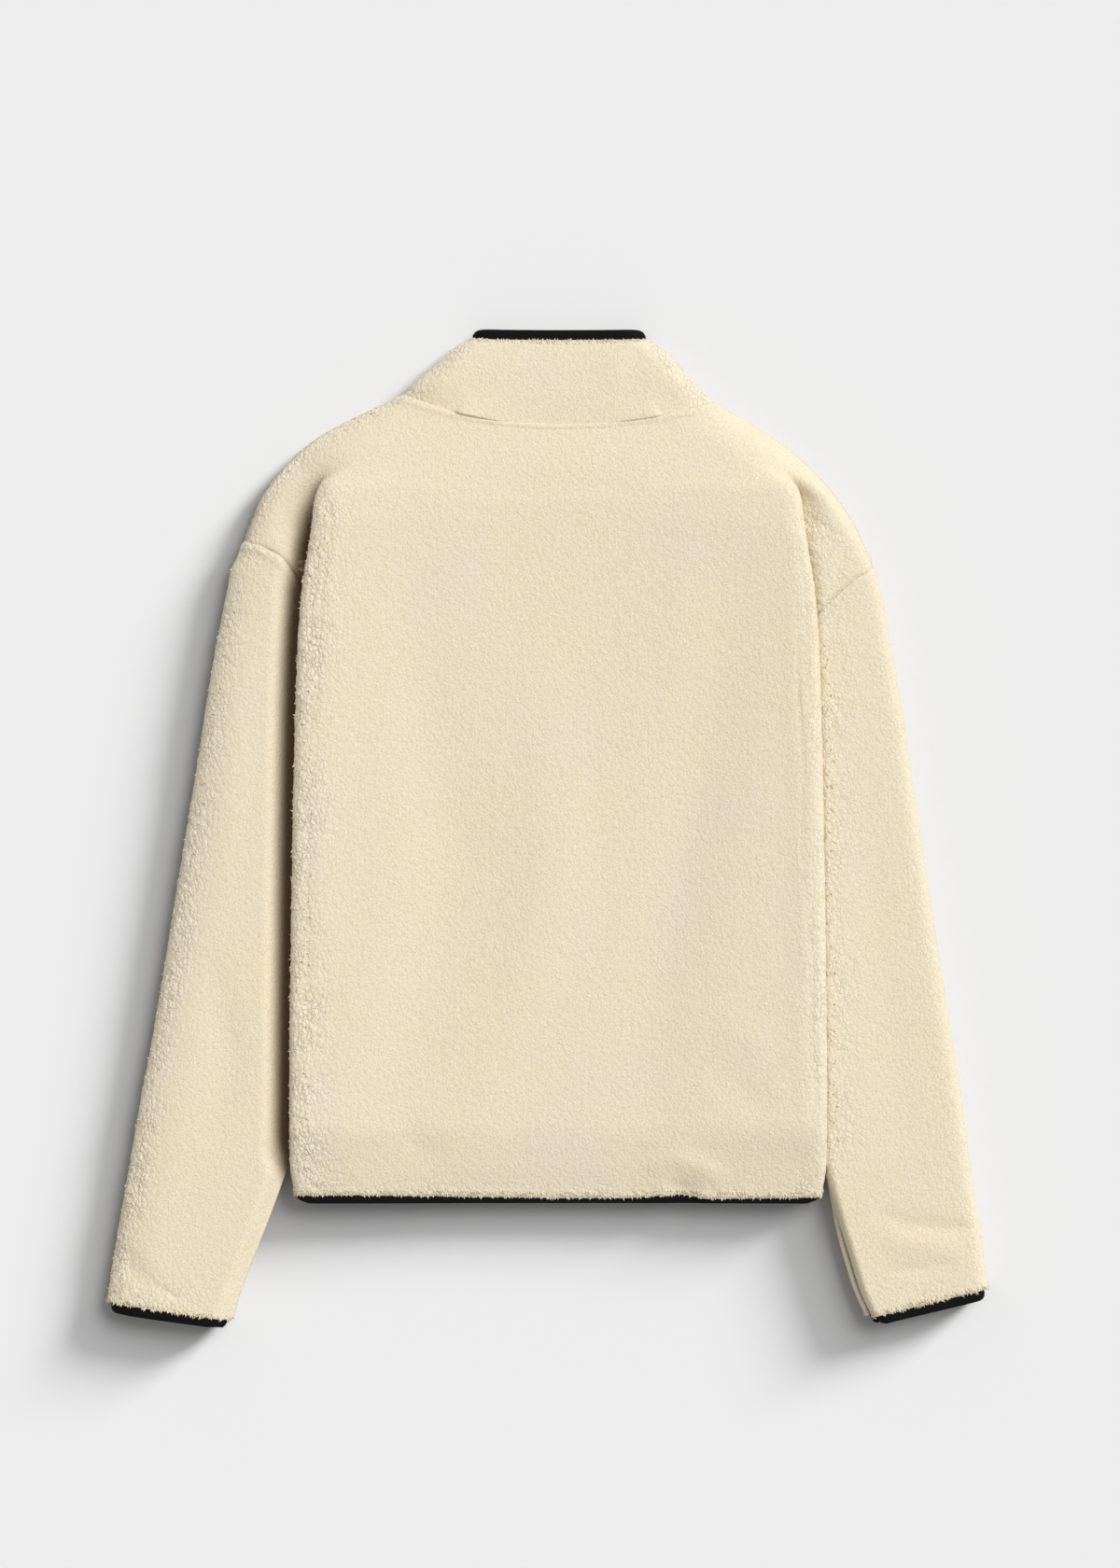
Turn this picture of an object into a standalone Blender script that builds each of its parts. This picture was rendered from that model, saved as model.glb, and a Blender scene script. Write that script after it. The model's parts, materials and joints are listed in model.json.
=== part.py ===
"""A zipped fleece jacket, lying flat on its front with its back up and its sides folded under.

X runs across the jacket, +Y points to the collar and +Z is up, off the surface it lies on.
Every piece of cloth is one wall: a grid of points on its middle surface, thickened both ways.
Across the body, a row of that grid runs from one armhole or side seam to the other. It is folded
twice at each side: at the rolled edge that shows, and at a hidden turn under that edge.
"""

import itertools
import math

import bmesh
import bpy
import numpy as np

MM = 0.001
ALONG = np.array([0.0, 1.0, 0.0])

# Driving sizes, in millimetres, in the jacket's own frame: x = 0 at centre back, y = 0 at the hem.
WALL = 4.0
BINDING_WALL = 3.0
SEAM_GAP = 0.3
PAIR_HALF_GAP = 2.5
ROLL_RADIUS = 7.0
TURN_RADIUS = 5.0
BACK_LOFT = 1.5
FLOOR_MID = WALL / 2
EDGE_MID = 10.0
ROUND_UPPER = 17.0
ROUND_LOWER = 9.0
SLEEVE_PUFF = 14.0
PUFF_REACH = 24.0
SHOULDER_REACH = 45.0
FRONT_EDGE_X = 7.0
HEM_BINDING = 5.7
BINDING_INSET = 5.0
OUTLINE_INSET = WALL / 2

# One row for each section of the body, hem to neck. back_y and front_y are its places at centre
# back and at the zip, low and top the heights of the two ends of the side fold, centre the back's
# height at x = 0, turn the angle of both folds and hook how far the hidden turn goes round.
BODY_COLUMNS = "back_y front_y low top centre turn hook fold_x under_x".split()
BODY_ROWS = (
    (6, 6, 4.5, 18.5, 19, 180, 0, 199, 142),
    (30, 30, 9.5, 23.5, 24, 180, 0, 202, 141),
    (60, 60, 15, 29, 27, 180, 0, 202, 139),
    (300, 300, 15, 29, 28, 180, 0, 198.8, 122),
    (305, 305, 12.5, 29, 28, 180, 45, 198.7, 122),
    (310, 310, 10, 29, 28, 180, 90, 198.6, 122),
    (316, 316, 7.5, 29, 28, 180, 135, 198.4, 122.4),
    (324, 324, 5, 29, 28, 180, 180, 198.3, 123),
    (356, 356, 5, 29, 28, 180, 180, 197.6, 127),
    (392, 392, 5, 29, 28, 180, 180, 196.6, 134),
    (430, 429, 5, 29, 28, 180, 180, 194.8, 145),
    (460, 455, 5, 29, 28, 180, 180, 192.3, 155),
    (488, 476, 5, 29, 28, 180, 180, 188.0, 164),
    (508, 490, 5, 28.4, 28, 150, 150, 184.5, 172),
    (523, 500, 5, 25, 28, 100, 100, 181.8, 172),
    (530, 505, 5.2, 24.2, 27.5, 78, 78, 178.0, 167),
    (537, 509.5, 5.5, 23.5, 27, 58, 58, 172.5, 160),
    (549, 517, 8.0, 22.5, 26, 35, 35, 161.0, 148),
    (562, 524, 12.0, 21.0, 25, 18, 18, 133.0, 120),
    (582.5, 535, 14.0, 18.0, 20.4, 8, 8, 88.0, 75),
)

# Where each section ends at the left and at the right: on the side seam, then on the armhole,
# then on the shoulder line up to the neck.
SEAM_COLUMNS = "left_x left_y right_x right_y".split()
SEAM_ROWS = (
    (142, 6, 142, 6),
    (141, 30, 141, 30),
    (139, 60, 139, 60),
    (122, 300, 122, 300),
    (122, 305, 122, 305),
    (122, 310, 122, 310),
    (122.4, 316, 122.4, 316),
    (124.5, 324, 124.5, 324),
    (133.5, 353, 133.5, 350),
    (148.5, 385, 148.5, 378),
    (168, 420, 168, 406),
    (187, 454, 186, 429),
    (208, 483, 205, 451),
    (224, 491.5, 223, 466),
    (237, 495, 238, 475),
    (232.3, 509, 231, 492.5),
    (227, 523, 223.5, 508.5),
    (210.5, 548, 205.5, 535),
    (184, 572.6, 175.5, 564.5),
    (116.2, 606.9, 116.9, 601.5),
)

# The outline of each sleeve, armhole to cuff: its outer edge and its underarm edge.
SLEEVE_COLUMNS = "outer_x outer_y inner_x inner_y".split()
SLEEVE_LEFT = (
    (237, 495, 126, 323.4),
    (246.5, 474, 127, 302),
    (253, 440, 132, 277),
    (260, 404, 138, 249),
    (266, 366, 145, 220),
    (273, 320, 153, 190),
    (289, 222, 171.5, 125),
    (305, 124, 192, 57),
    (313, 84, 202.5, 28),
    (326, 6, 219, -17),
    (332, -25, 229, -42),
    (336, -52, 238, -66),
    (339.5, -75, 245, -89),
)
SLEEVE_RIGHT = (
    (238, 475, 126, 323.4),
    (244.5, 452, 127, 302),
    (249, 424, 132, 277),
    (254, 396, 138, 249),
    (260, 362, 145, 220),
    (266, 318, 153, 190),
    (280.5, 224, 171.5, 125),
    (295.5, 126, 190.5, 57),
    (303, 80, 200, 28),
    (313, 6, 212, -17),
    (317.5, -20, 219.5, -42),
    (320.5, -45, 227, -66),
    (323.4, -64.4, 236, -86),
)
# How much of the armhole's curve each sleeve section keeps.
ARMHOLE_SHARE = (1.0, 0.8, 0.6, 0.42, 0.28, 0.17, 0.04, 0, 0, 0, 0, 0, 0)
CUFF_BINDING_HEIGHT = 7.0
CUFF_BINDING_INSET = 4.0

# The collar, neck seam to top: height at centre back and at the zip, where its side folds lie
# and how high its back layer stands.
COLLAR_COLUMNS = "back_y front_y left_x left_y right_x right_y centre".split()
COLLAR_ROWS = (
    (602, 553, 106.5, 616, 104.5, 613, 20.2),
    (621, 571, 91, 629.5, 90.5, 628.5, 19.0),
    (637, 589, 77, 641.5, 78, 640.5, 17.5),
    (648, 604, 66, 648.5, 67.5, 648.3, 16.0),
)
COLLAR_BINDING_HEIGHT = 6.5
COLLAR_BINDING_INSET = 9.0

# Shares of the way along each stretch of a section at which it has its points, outer end first.
SIDE_SEAM_OFFSETS = (0.0, 0.4, 0.8, 1.2, 1.5, 4.0, 6.6, 9.4, 38.0)
WING_STEPS = (1.0, 0.96, 0.88, 0.45)
TURN_STEPS = (1.0, 0.67, 0.33)
FLAP_STEPS = (1.0, 0.5)
ROLL_STEPS = (1.0, 0.75, 0.5, 0.25, 0.0)
FRONT_ROLL_STEPS = (1.0, 0.67, 0.33, 0.0)
BACK_TOP_STEPS = (0.8, 0.42, 0.0)
FRONT_DESCENT_STEPS = (0.0, 0.33, 0.67, 1.0)
SLEEVE_EXTRA_STEPS = (0.02, 0.07, 0.975)
FRONT_DESCENT = 34.0
TIP_GAP = (0.4, -1.2)
UNDERARM_SLOPE = 1.6
SAG_SPREAD = 1.15
FRONT_FOLD_SHARE = (1.0, 0.7, 0.5, 0.25, 0.0, 0.0)
SHOULDER_PUFF = (16.0, 14.5, 13.0, 9.0, 3.0, 0.0)
DESCENT_START = 9.0
NECK_SPACING = 1.8

# The zip, in millimetres.
TAPE_INNER_X = 2.2
TAPE_OUTER_X = 15.0
TAPE_BASE = WALL + SEAM_GAP
TAPE_WALL = 0.8
TAPE_START_Y = 0.5
ZIP_BOTTOM = 9.3
ZIP_TOP = 606.0
CHAIN_HALF_WIDTH = 1.9
CHAIN_LOW, CHAIN_HIGH = 3.7, 5.7
BOX_LOW, BOX_HIGH = 3.0, 6.4
BOX_HALF_WIDTH = 2.0
BOX_START_Y = 0.8
SLIDER_Y = 588.0
SLIDER_LENGTH = 11.0
SLIDER_HALF_WIDTH = 4.5
PLATE_LOW, PLATE_HIGH = 2.5, 3.4
UPPER_PLATE_LOW, UPPER_PLATE_HIGH = 6.0, 7.0
POST_HALF_WIDTH = 1.1
POST_LENGTH = 2.6
PIVOT_Z = 1.6
PIVOT_Y = SLIDER_Y - 2.0
BAIL_INNER, BAIL_OUTER = 0.95, 1.5
BAIL_HALF_WIDTH = 0.8
PIN_RADIUS = 0.6
PULL_HALF_WIDTH = 3.2
PULL_LENGTH = 26.0
ARM_INNER_X = 1.2
ARM_LENGTH = 5.0

# Colours and finishes of the materials, linear.
FLEECE = ((0.79, 0.72, 0.55), 0.95, 0.0)
BINDING = ((0.010, 0.010, 0.011), 0.75, 0.0)
TAPE = ((0.012, 0.012, 0.013), 0.85, 0.0)
CHAIN = ((0.015, 0.015, 0.016), 0.45, 0.0)
METAL = ((0.02, 0.02, 0.022), 0.35, 1.0)


def clear_scene():
    for item in list(bpy.data.objects):
        bpy.data.objects.remove(item, do_unlink=True)


def material(name, look):
    colour, roughness, metallic = look
    made = bpy.data.materials.new(name)
    made.use_nodes = True
    shader = made.node_tree.nodes["Principled BSDF"]
    shader.inputs["Base Color"].default_value = (*colour, 1.0)
    shader.inputs["Roughness"].default_value = roughness
    shader.inputs["Metallic"].default_value = metallic
    return made


def column(rows, names, name):
    return np.array([row[names.index(name)] for row in rows], float)


def soft_step(share):
    share = np.clip(share, 0.0, 1.0)
    return share * share * (3.0 - 2.0 * share)


def bulge(share):
    """A quarter circle's height, from 0 at its rim to 1 a full share in."""
    return math.sqrt(1.0 - (1.0 - min(max(share, 0.0), 1.0)) ** 2)


def inset_line(xs, ys, inset):
    """The points of a line moved in, square to it, by inset."""
    dx, dy = np.gradient(xs), np.gradient(ys)
    length = np.hypot(dx, dy)
    return xs - inset * dy / length, ys + inset * dx / length


class Outline:
    """The middle of the wall along one side's silhouette, cuff to neck, and the body's fold."""

    def __init__(self, side):
        sleeve = SLEEVE_LEFT if side == "left" else SLEEVE_RIGHT
        xs = list(column(sleeve, SLEEVE_COLUMNS, "outer_x")[::-1])
        ys = list(column(sleeve, SLEEVE_COLUMNS, "outer_y")[::-1])
        self.tip = len(xs) - 1
        xs += list(column(SEAM_ROWS, SEAM_COLUMNS, side + "_x")[SHOULDER_ROW + 1:])
        ys += list(column(SEAM_ROWS, SEAM_COLUMNS, side + "_y")[SHOULDER_ROW + 1:])
        self.xs, self.ys = inset_line(np.array(xs), np.array(ys), OUTLINE_INSET)
        slopes = np.arctan2(np.diff(self.ys), -np.diff(self.xs))
        self.lean = np.sin(np.clip(slopes, 0.0, math.pi / 2))
        self.fold_y = column(BODY_ROWS, BODY_COLUMNS, "back_y")
        self.fold_x = column(BODY_ROWS, BODY_COLUMNS, "fold_x")

    def inside(self, x, y):
        """How far in from the silhouette a point lies."""
        middles = (self.ys[:-1] + self.ys[1:]) / 2
        lean = np.interp(y, middles, self.lean)
        return max(0.0, (np.interp(y, self.ys, self.xs) - x) * lean)

    def fold_edge(self, y):
        """The rolled edge's place. Below the hem it moves in, so that the sleeve fills out."""
        return np.interp(y, self.fold_y, self.fold_x) - 1.5 * max(0.0, 20.0 - y)

    def seam_end(self, index):
        """Where a section of the body ends: at its seam, or at the silhouette from the shoulder up."""
        if index >= SHOULDER_ROW:
            place = self.tip + index - SHOULDER_ROW
            return self.xs[place], self.ys[place]
        return None


UNDERARM_ROW = [row[0] for row in BODY_ROWS].index(324)
SHOULDER_ROW = [row[0] for row in BODY_ROWS].index(523)
OUTLINES = {side: Outline(side) for side in ("left", "right")}


def upper_height(side, x, y):
    """Middle of the sleeve's upper layer: low beneath the body's edge, soft and full outside it."""
    outline = OUTLINES[side]
    puff = SLEEVE_PUFF * soft_step((x - outline.fold_edge(y) - 1.0) / PUFF_REACH)
    full = FLOOR_MID + 2 * PAIR_HALF_GAP + puff
    return EDGE_MID + (full - EDGE_MID) * bulge(outline.inside(x, y) / ROUND_UPPER)


def lower_height(side, x, y):
    share = bulge(OUTLINES[side].inside(x, y) / ROUND_LOWER)
    return EDGE_MID + (FLOOR_MID - EDGE_MID) * share


def body_row(index, side):
    """One section's values, with where it ends at this side."""
    row = dict(zip(BODY_COLUMNS, BODY_ROWS[index]))
    seam = dict(zip(SEAM_COLUMNS, SEAM_ROWS[index]))
    end = OUTLINES[side].seam_end(index) or (seam[side + "_x"], seam[side + "_y"])
    return row | {"end_x": end[0], "end_y": end[1], "side": side, "index": index}


def arc_point(centre, radius, angle):
    return centre + radius * np.array([math.sin(angle), math.cos(angle)])


def fold_path(row, loft):
    """One side's fold as (x, z) points, from the section's outer end in to the top of the roll.

    loft is how far the layer stands off the fold's own line: up on the back, down on the front.
    """
    turn, hook = math.radians(row["turn"]), math.radians(row["hook"])
    start_x = row["fold_x"] - ROLL_RADIUS - PAIR_HALF_GAP - BACK_LOFT - WALL / 2
    roll = np.array([start_x, row["top"] - ROLL_RADIUS])
    roll_end = arc_point(roll, ROLL_RADIUS, turn)
    heading = np.array([math.cos(turn), -math.sin(turn)])
    flap = start_x - row["under_x"]
    if row["turn"] < 180:
        drop = row["top"] - row["low"] - (ROLL_RADIUS + TURN_RADIUS) * (1 - math.cos(turn))
        flap = drop / math.sin(turn)
    flap_end = roll_end + flap * heading
    lift = loft * arc_point(np.zeros(2), 1.0, turn)
    points = []
    if hook == 0:
        seam_lift = lift * (WALL + SEAM_GAP) / 2 / PAIR_HALF_GAP
        for offset in SIDE_SEAM_OFFSETS:
            layer = seam_lift if offset < 2.0 else lift
            points.append(roll_end + (flap - offset) * heading + layer)
    else:
        centre = arc_point(flap_end, TURN_RADIUS, turn)
        last = turn - hook
        ahead = np.array([math.cos(last), -math.sin(last)])
        turn_end = arc_point(centre, loft - TURN_RADIUS, last)
        reach = 1.5 if hook < turn else max(1.5, row["end_x"] - turn_end[0])
        points += [turn_end + share * reach * ahead for share in WING_STEPS]
        points += [arc_point(centre, loft - TURN_RADIUS, turn - hook * share) for share in TURN_STEPS]
        points += [roll_end + share * flap * heading + lift for share in FLAP_STEPS]
    for share in ROLL_STEPS if loft > 0 else FRONT_ROLL_STEPS:
        layer = loft + (BACK_LOFT * (1 - share) if loft > 0 else 0.0)
        points.append(arc_point(roll, ROLL_RADIUS + layer, turn * share))
    return points


def section_y(row, x, back, start_x):
    """A shoulder section's y. It bends to its end on the shoulder, and a front dips to the zip."""
    share = (row["index"] - SHOULDER_ROW) / (len(BODY_ROWS) - 1 - SHOULDER_ROW)
    outside = np.clip((x - row["under_x"]) / (row["end_x"] - row["under_x"]), 0.0, 1.0)
    bend = share * (x / row["end_x"]) ** 2 + (1 - share) * outside ** 1.5
    y = row["back_y"] + (row["end_y"] - row["back_y"]) * bend
    if back:
        return y
    reach = start_x + (row["end_x"] - start_x) * share
    return y + (row["front_y"] - row["back_y"]) * max(0.0, 1 - (x / reach) ** 2)


def side_points(index, side, layer):
    """The back's or a front's points at one side of a section, outer end first, as (x, y, z)."""
    row = body_row(index, side)
    back = layer == "back"
    path = fold_path(row, PAIR_HALF_GAP if back else -PAIR_HALF_GAP)
    height = upper_height if back else lower_height
    if row["turn"] < 90:
        return shoulder_points(row, path, back)
    points = []
    for place, (x, z) in enumerate(path):
        reach = np.clip((x - row["under_x"]) / max(1.0, row["end_x"] - row["under_x"]), 0, 1)
        y = row["back_y"]
        if place < len(WING_STEPS) + len(TURN_STEPS):
            y += (row["end_y"] - y) * reach ** 1.5
        if place < len(WING_STEPS) and row["hook"] == row["turn"]:
            z = height(side, x, y)
        points.append((x, y, z))
    if index == SHOULDER_ROW:
        points[:2] = upright_edge(row, back)
    start_x, start_y, start_z = points[-1]
    if back:
        return points + [(x, start_y, z) for x, z in back_middle(row, start_x, start_z)]
    for x, z in front_descent(row, start_x, start_z):
        dip = (row["front_y"] - start_y) * (1 - (x / start_x) ** 2)
        points.append((x, start_y + dip, z))
    return points


def upright_edge(row, back):
    """The wall's end at the silhouette stands upright, so that back and front meet face to face."""
    sign = 1 if back else -1
    return [(row["end_x"], row["end_y"], EDGE_MID + sign * lift) for lift in (SEAM_GAP / 2, 2.0)]


def shoulder_points(row, path, back):
    """A section that ends on the shoulder line, where the side fold has opened into a slope."""
    side, place = row["side"], row["index"] - SHOULDER_ROW
    start_x, start_z = path[-1]
    points = upright_edge(row, back)
    for x, z in path[len(points):]:
        if back:
            z += SHOULDER_PUFF[place] * soft_step((x - path[len(WING_STEPS)][0]) / SHOULDER_REACH)
        else:
            z = FLOOR_MID + (z - FLOOR_MID) * FRONT_FOLD_SHARE[place]
        y = section_y(row, x, back, start_x)
        share = bulge(OUTLINES[side].inside(x, y) / (ROUND_UPPER if back else ROUND_LOWER))
        points.append((x, y, EDGE_MID + (z - EDGE_MID) * share))
    if back:
        middle = back_middle(row, start_x, start_z)
    else:
        fold_height = (start_z - FLOOR_MID) * FRONT_FOLD_SHARE[place]
        middle = front_descent(row, start_x, FLOOR_MID + fold_height)
    return points + [(x, section_y(row, x, back, start_x), z) for x, z in middle]


def back_middle(row, start_x, start_z):
    """The back from its rolled edge in to the centre, where it sags a little."""
    sag = row["centre"] - start_z
    spread = [(share, soft_step((1 - share) * SAG_SPREAD)) for share in BACK_TOP_STEPS]
    return [(start_x * share, start_z + sag * part) for share, part in spread]


def front_descent(row, start_x, start_z):
    """A front from its rolled edge in, over the folded side, down to the floor and to the zip."""
    top_end = min(row["under_x"] - DESCENT_START, start_x - 4.0)
    stops = [((start_x + top_end) / 2, start_z)]
    for share in FRONT_DESCENT_STEPS:
        height = start_z + (FLOOR_MID - start_z) * soft_step(share)
        stops.append((top_end - FRONT_DESCENT * share, height))
    floor_start = top_end - FRONT_DESCENT
    return stops + [((floor_start + FRONT_EDGE_X) / 2, FLOOR_MID), (FRONT_EDGE_X, FLOOR_MID)]


def mirrored(points, sign):
    return [(sign * x, y, z) for x, y, z in points]


def back_rows():
    rows = []
    for index in range(len(BODY_ROWS)):
        left = mirrored(side_points(index, "left", "back"), -1)
        right = side_points(index, "right", "back")
        rows.append(left[:-1] + right[::-1])
    return rows


def front_rows(side):
    sign = -1 if side == "left" else 1
    return [mirrored(side_points(index, side, "front"), sign) for index in range(len(BODY_ROWS))]


def shell(name, rows, wall, look, way, square=()):
    """A closed wall on a grid of middle points, its sides wall / 2 from them.

    way looks from row to row. The rows that square lists are thickened square to it, so that
    layers folded on each other keep their gap and end faces meet their neighbours flat.
    """
    middle = np.array(rows, float)
    normals = np.cross(np.gradient(middle, axis=1), np.gradient(middle, axis=0))
    normals /= np.linalg.norm(normals, axis=2, keepdims=True)
    for row in square:
        flat = np.cross(np.gradient(middle[row], axis=0), way)
        sign = np.sign(np.einsum("ij,ij->i", flat, normals[row]))
        normals[row] = flat * np.where(sign == 0, 1, sign)[:, None]
    normals /= np.linalg.norm(normals, axis=2, keepdims=True)
    return closed_grid(name, middle + normals * wall / 2, middle - normals * wall / 2, look)


def closed_grid(name, outer, inner, look):
    high, wide, _ = outer.shape
    points = np.concatenate([outer.reshape(-1, 3), inner.reshape(-1, 3)]) * MM
    other = high * wide

    def at(row, place, layer=0):
        return layer * other + row * wide + place

    faces = []
    for row in range(high - 1):
        for place in range(wide - 1):
            ring = [at(row, place), at(row, place + 1), at(row + 1, place + 1), at(row + 1, place)]
            faces.append(ring)
            faces.append([corner + other for corner in reversed(ring)])
    rim = [(0, place) for place in range(wide)]
    rim += [(row, wide - 1) for row in range(1, high)]
    rim += [(high - 1, place) for place in range(wide - 2, -1, -1)]
    rim += [(row, 0) for row in range(high - 2, 0, -1)]
    for first, second in zip(rim, rim[1:] + rim[:1]):
        faces.append([at(*second), at(*first), at(*first, 1), at(*second, 1)])
    return add_mesh(name, points, faces, look)


def add_mesh(name, points, faces, look):
    mesh = bpy.data.meshes.new(name)
    mesh.from_pydata([tuple(point) for point in points], [], faces)
    work = bmesh.new()
    work.from_mesh(mesh)
    bmesh.ops.triangulate(work, faces=work.faces[:])
    bmesh.ops.recalc_face_normals(work, faces=work.faces[:])
    if work.calc_volume(signed=True) < 0:
        bmesh.ops.reverse_faces(work, faces=work.faces[:])
    work.to_mesh(mesh)
    work.free()
    mesh.shade_smooth()
    mesh.set_sharp_from_angle(angle=math.radians(50))
    made = bpy.data.objects.new(name, mesh)
    made.data.materials.append(look)
    bpy.context.scene.collection.objects.link(made)
    return made


def armhole(side):
    """The armhole's line in plan, from the underarm to the shoulder."""
    rows = [body_row(index, side) for index in range(UNDERARM_ROW, SHOULDER_ROW + 1)]
    return np.array([(row["end_x"], row["end_y"]) for row in rows])


def line_shares(points):
    steps = np.linalg.norm(np.diff(points, axis=0), axis=1)
    return np.concatenate([[0.0], np.cumsum(steps)]) / steps.sum()


def sleeve_ring(side, outer, inner, share):
    """One section of a sleeve, from the underarm over the top and back beneath."""
    seam = armhole(side)
    shares = line_shares(seam)
    outer, inner = np.array(outer, float), np.array(inner, float)
    width = np.linalg.norm(outer - inner)
    if share < 1.0:
        outer = outer - (outer - inner) * OUTLINE_INSET / width
    else:
        outer = seam[-1] + TIP_GAP

    pinch = (upper_height(side, *inner) + FLOOR_MID) / 2
    lip = (WALL + SEAM_GAP) / 2

    def point(place, sign):
        on_seam = np.array([np.interp(place, shares, seam[:, axis]) for axis in (0, 1)])
        bow = on_seam - (seam[0] + (seam[-1] - seam[0]) * place)
        x, y = inner + (outer - inner) * place + share * bow
        layer = upper_height(side, x, y) if sign > 0 else lower_height(side, x, y)
        end = pinch + sign * lip
        reach = max(3.0, UNDERARM_SLOPE * abs(layer - end))
        return (x, y, end + (layer - end) * soft_step(place * width / reach))

    places = sorted({*shares, *SLEEVE_EXTRA_STEPS})
    upper = [point(place, 1) for place in places]
    lower = [point(place, -1) for place in places[-2::-1] if place != SLEEVE_EXTRA_STEPS[-1]]
    return upper + lower


def sleeve_rows(side):
    table = SLEEVE_LEFT if side == "left" else SLEEVE_RIGHT
    sign = -1 if side == "left" else 1
    rows = []
    for (outer_x, outer_y, inner_x, inner_y), share in zip(table, ARMHOLE_SHARE):
        ring = sleeve_ring(side, (outer_x, outer_y), (inner_x, inner_y), share)
        rows.append(np.array(mirrored(ring, sign)))
    way = rows[1] - rows[0]
    rows[0] = rows[0] + SEAM_GAP * 1.5 * way / np.linalg.norm(way, axis=1, keepdims=True)
    return rows


def sleeve_axis(rows):
    way = (rows[-1] - rows[-2]).mean(axis=0)
    way[2] = 0.0
    return way / np.linalg.norm(way)


def beyond(row, way, gap, length, draw_in):
    """Two rows for a binding that carries a panel's last row on, a little narrower at its far end."""
    row = np.array(row, float)
    middle = row.mean(axis=0)
    near = row + gap * way
    across = np.array([way[1], -way[0], 0.0])
    spread = (row - middle) @ across
    narrow = 1.0 - draw_in / np.abs(spread).max()
    far = near + length * way + np.outer(spread * (narrow - 1.0), across)
    return [near, far]


def thinned(points):
    """A section's points with those left out that lie too near the last one kept. The ends stay."""
    kept = [points[0]]
    for point in points[1:-1]:
        if min(math.dist(point, other) for other in (kept[-1], points[-1])) >= NECK_SPACING:
            kept.append(point)
    return kept + [points[-1]]


def collar_rows():
    """The collar's rings, zip to zip round the neck, from the neck seam to the top."""
    back = back_rows()[-1]
    left, right = front_rows("left")[-1], front_rows("right")[-1]
    ends = {"left": abs(back[0][0]), "right": abs(back[-1][0])}
    layers = [thinned(left[:0:-1]), thinned(back[1:-1]), thinned(right[1:])]
    below, above = len(layers[0]), len(layers[1])
    first = np.array([point for layer in layers for point in layer])
    first[:, 1] += SEAM_GAP
    rows = [first]
    for values in COLLAR_ROWS:
        target = dict(zip(COLLAR_COLUMNS, values))
        edge = (FLOOR_MID + target["centre"]) / 2
        ring = []
        for place, (x, _, _) in enumerate(first):
            side = "left" if x < 0 else "right"
            is_back = below <= place < below + above
            zip_x = 0.0 if is_back else FRONT_EDGE_X
            share = max(0.0, (abs(x) - zip_x) / (ends[side] - zip_x))
            end_x = target[side + "_x"] - OUTLINE_INSET
            centre_y = target["back_y"] if is_back else target["front_y"]
            y = centre_y + (target[side + "_y"] - centre_y) * share ** 2
            far_in = (1 - share) * end_x
            if is_back:
                z = edge + (target["centre"] - edge) * bulge(max(far_in, 0.15) / ROUND_UPPER)
            else:
                z = edge + (FLOOR_MID - edge) * bulge(max(far_in, 0.15) / ROUND_LOWER)
            ring.append((math.copysign(zip_x + (end_x - zip_x) * share, x), y, z))
        rows.append(np.array(ring))
    return rows


def hem_binding_rows():
    """The hem's own section, zip to zip, moved down past the fleece's edge."""
    left, right, back = front_rows("left")[0], front_rows("right")[0], back_rows()[0]
    hem_y = BODY_ROWS[0][0]
    seam_x, seam_z = BODY_ROWS[0][-1] - 1.5, BODY_ROWS[0][2]
    path = left[::-1] + [(-seam_x, hem_y, seam_z)] + back + [(seam_x, hem_y, seam_z)] + right
    down = np.array([0.0, -1.0, 0.0])
    near, far = beyond(path, down, SEAM_GAP, HEM_BINDING, 0.0)
    draw_in = BINDING_INSET * soft_step((np.abs(near[:, 0]) - 120.0) / 80.0)
    far[:, 0] -= np.sign(far[:, 0]) * draw_in
    return [near, far]


def box(name, low, high, look):
    """A box between two corners, in millimetres."""
    corners = list(itertools.product(*zip(low, high)))
    faces = [(0, 1, 3, 2), (4, 6, 7, 5), (0, 4, 5, 1), (2, 3, 7, 6), (0, 2, 6, 4), (1, 5, 7, 3)]
    return add_mesh(name, np.array(corners) * MM, faces, look)


def rod_along_x(name, half_width, radius, place, look, sides=16):
    """A round rod along X, centred on (y, z)."""
    ring = [(math.cos(math.tau * k / sides), math.sin(math.tau * k / sides)) for k in range(sides)]
    ends = (-half_width, half_width)
    points = [(x, place[0] + radius * c, place[1] + radius * s) for x in ends for c, s in ring]
    faces = [list(range(sides)), list(range(2 * sides - 1, sides - 1, -1))]
    for k in range(sides):
        after = (k + 1) % sides
        faces.append([k, after, sides + after, sides + k])
    return add_mesh(name, np.array(points) * MM, faces, look)


def combine(target, operation, other):
    """Joins another solid to target, or cuts it away, and deletes that other solid."""
    step = target.modifiers.new(operation.lower(), "BOOLEAN")
    step.operation = operation
    step.object = other
    step.solver = "EXACT"
    bpy.context.view_layer.update()
    graph = bpy.context.evaluated_depsgraph_get()
    mesh = bpy.data.meshes.new_from_object(target.evaluated_get(graph))
    target.modifiers.clear()
    target.data = mesh
    bpy.data.objects.remove(other, do_unlink=True)


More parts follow.
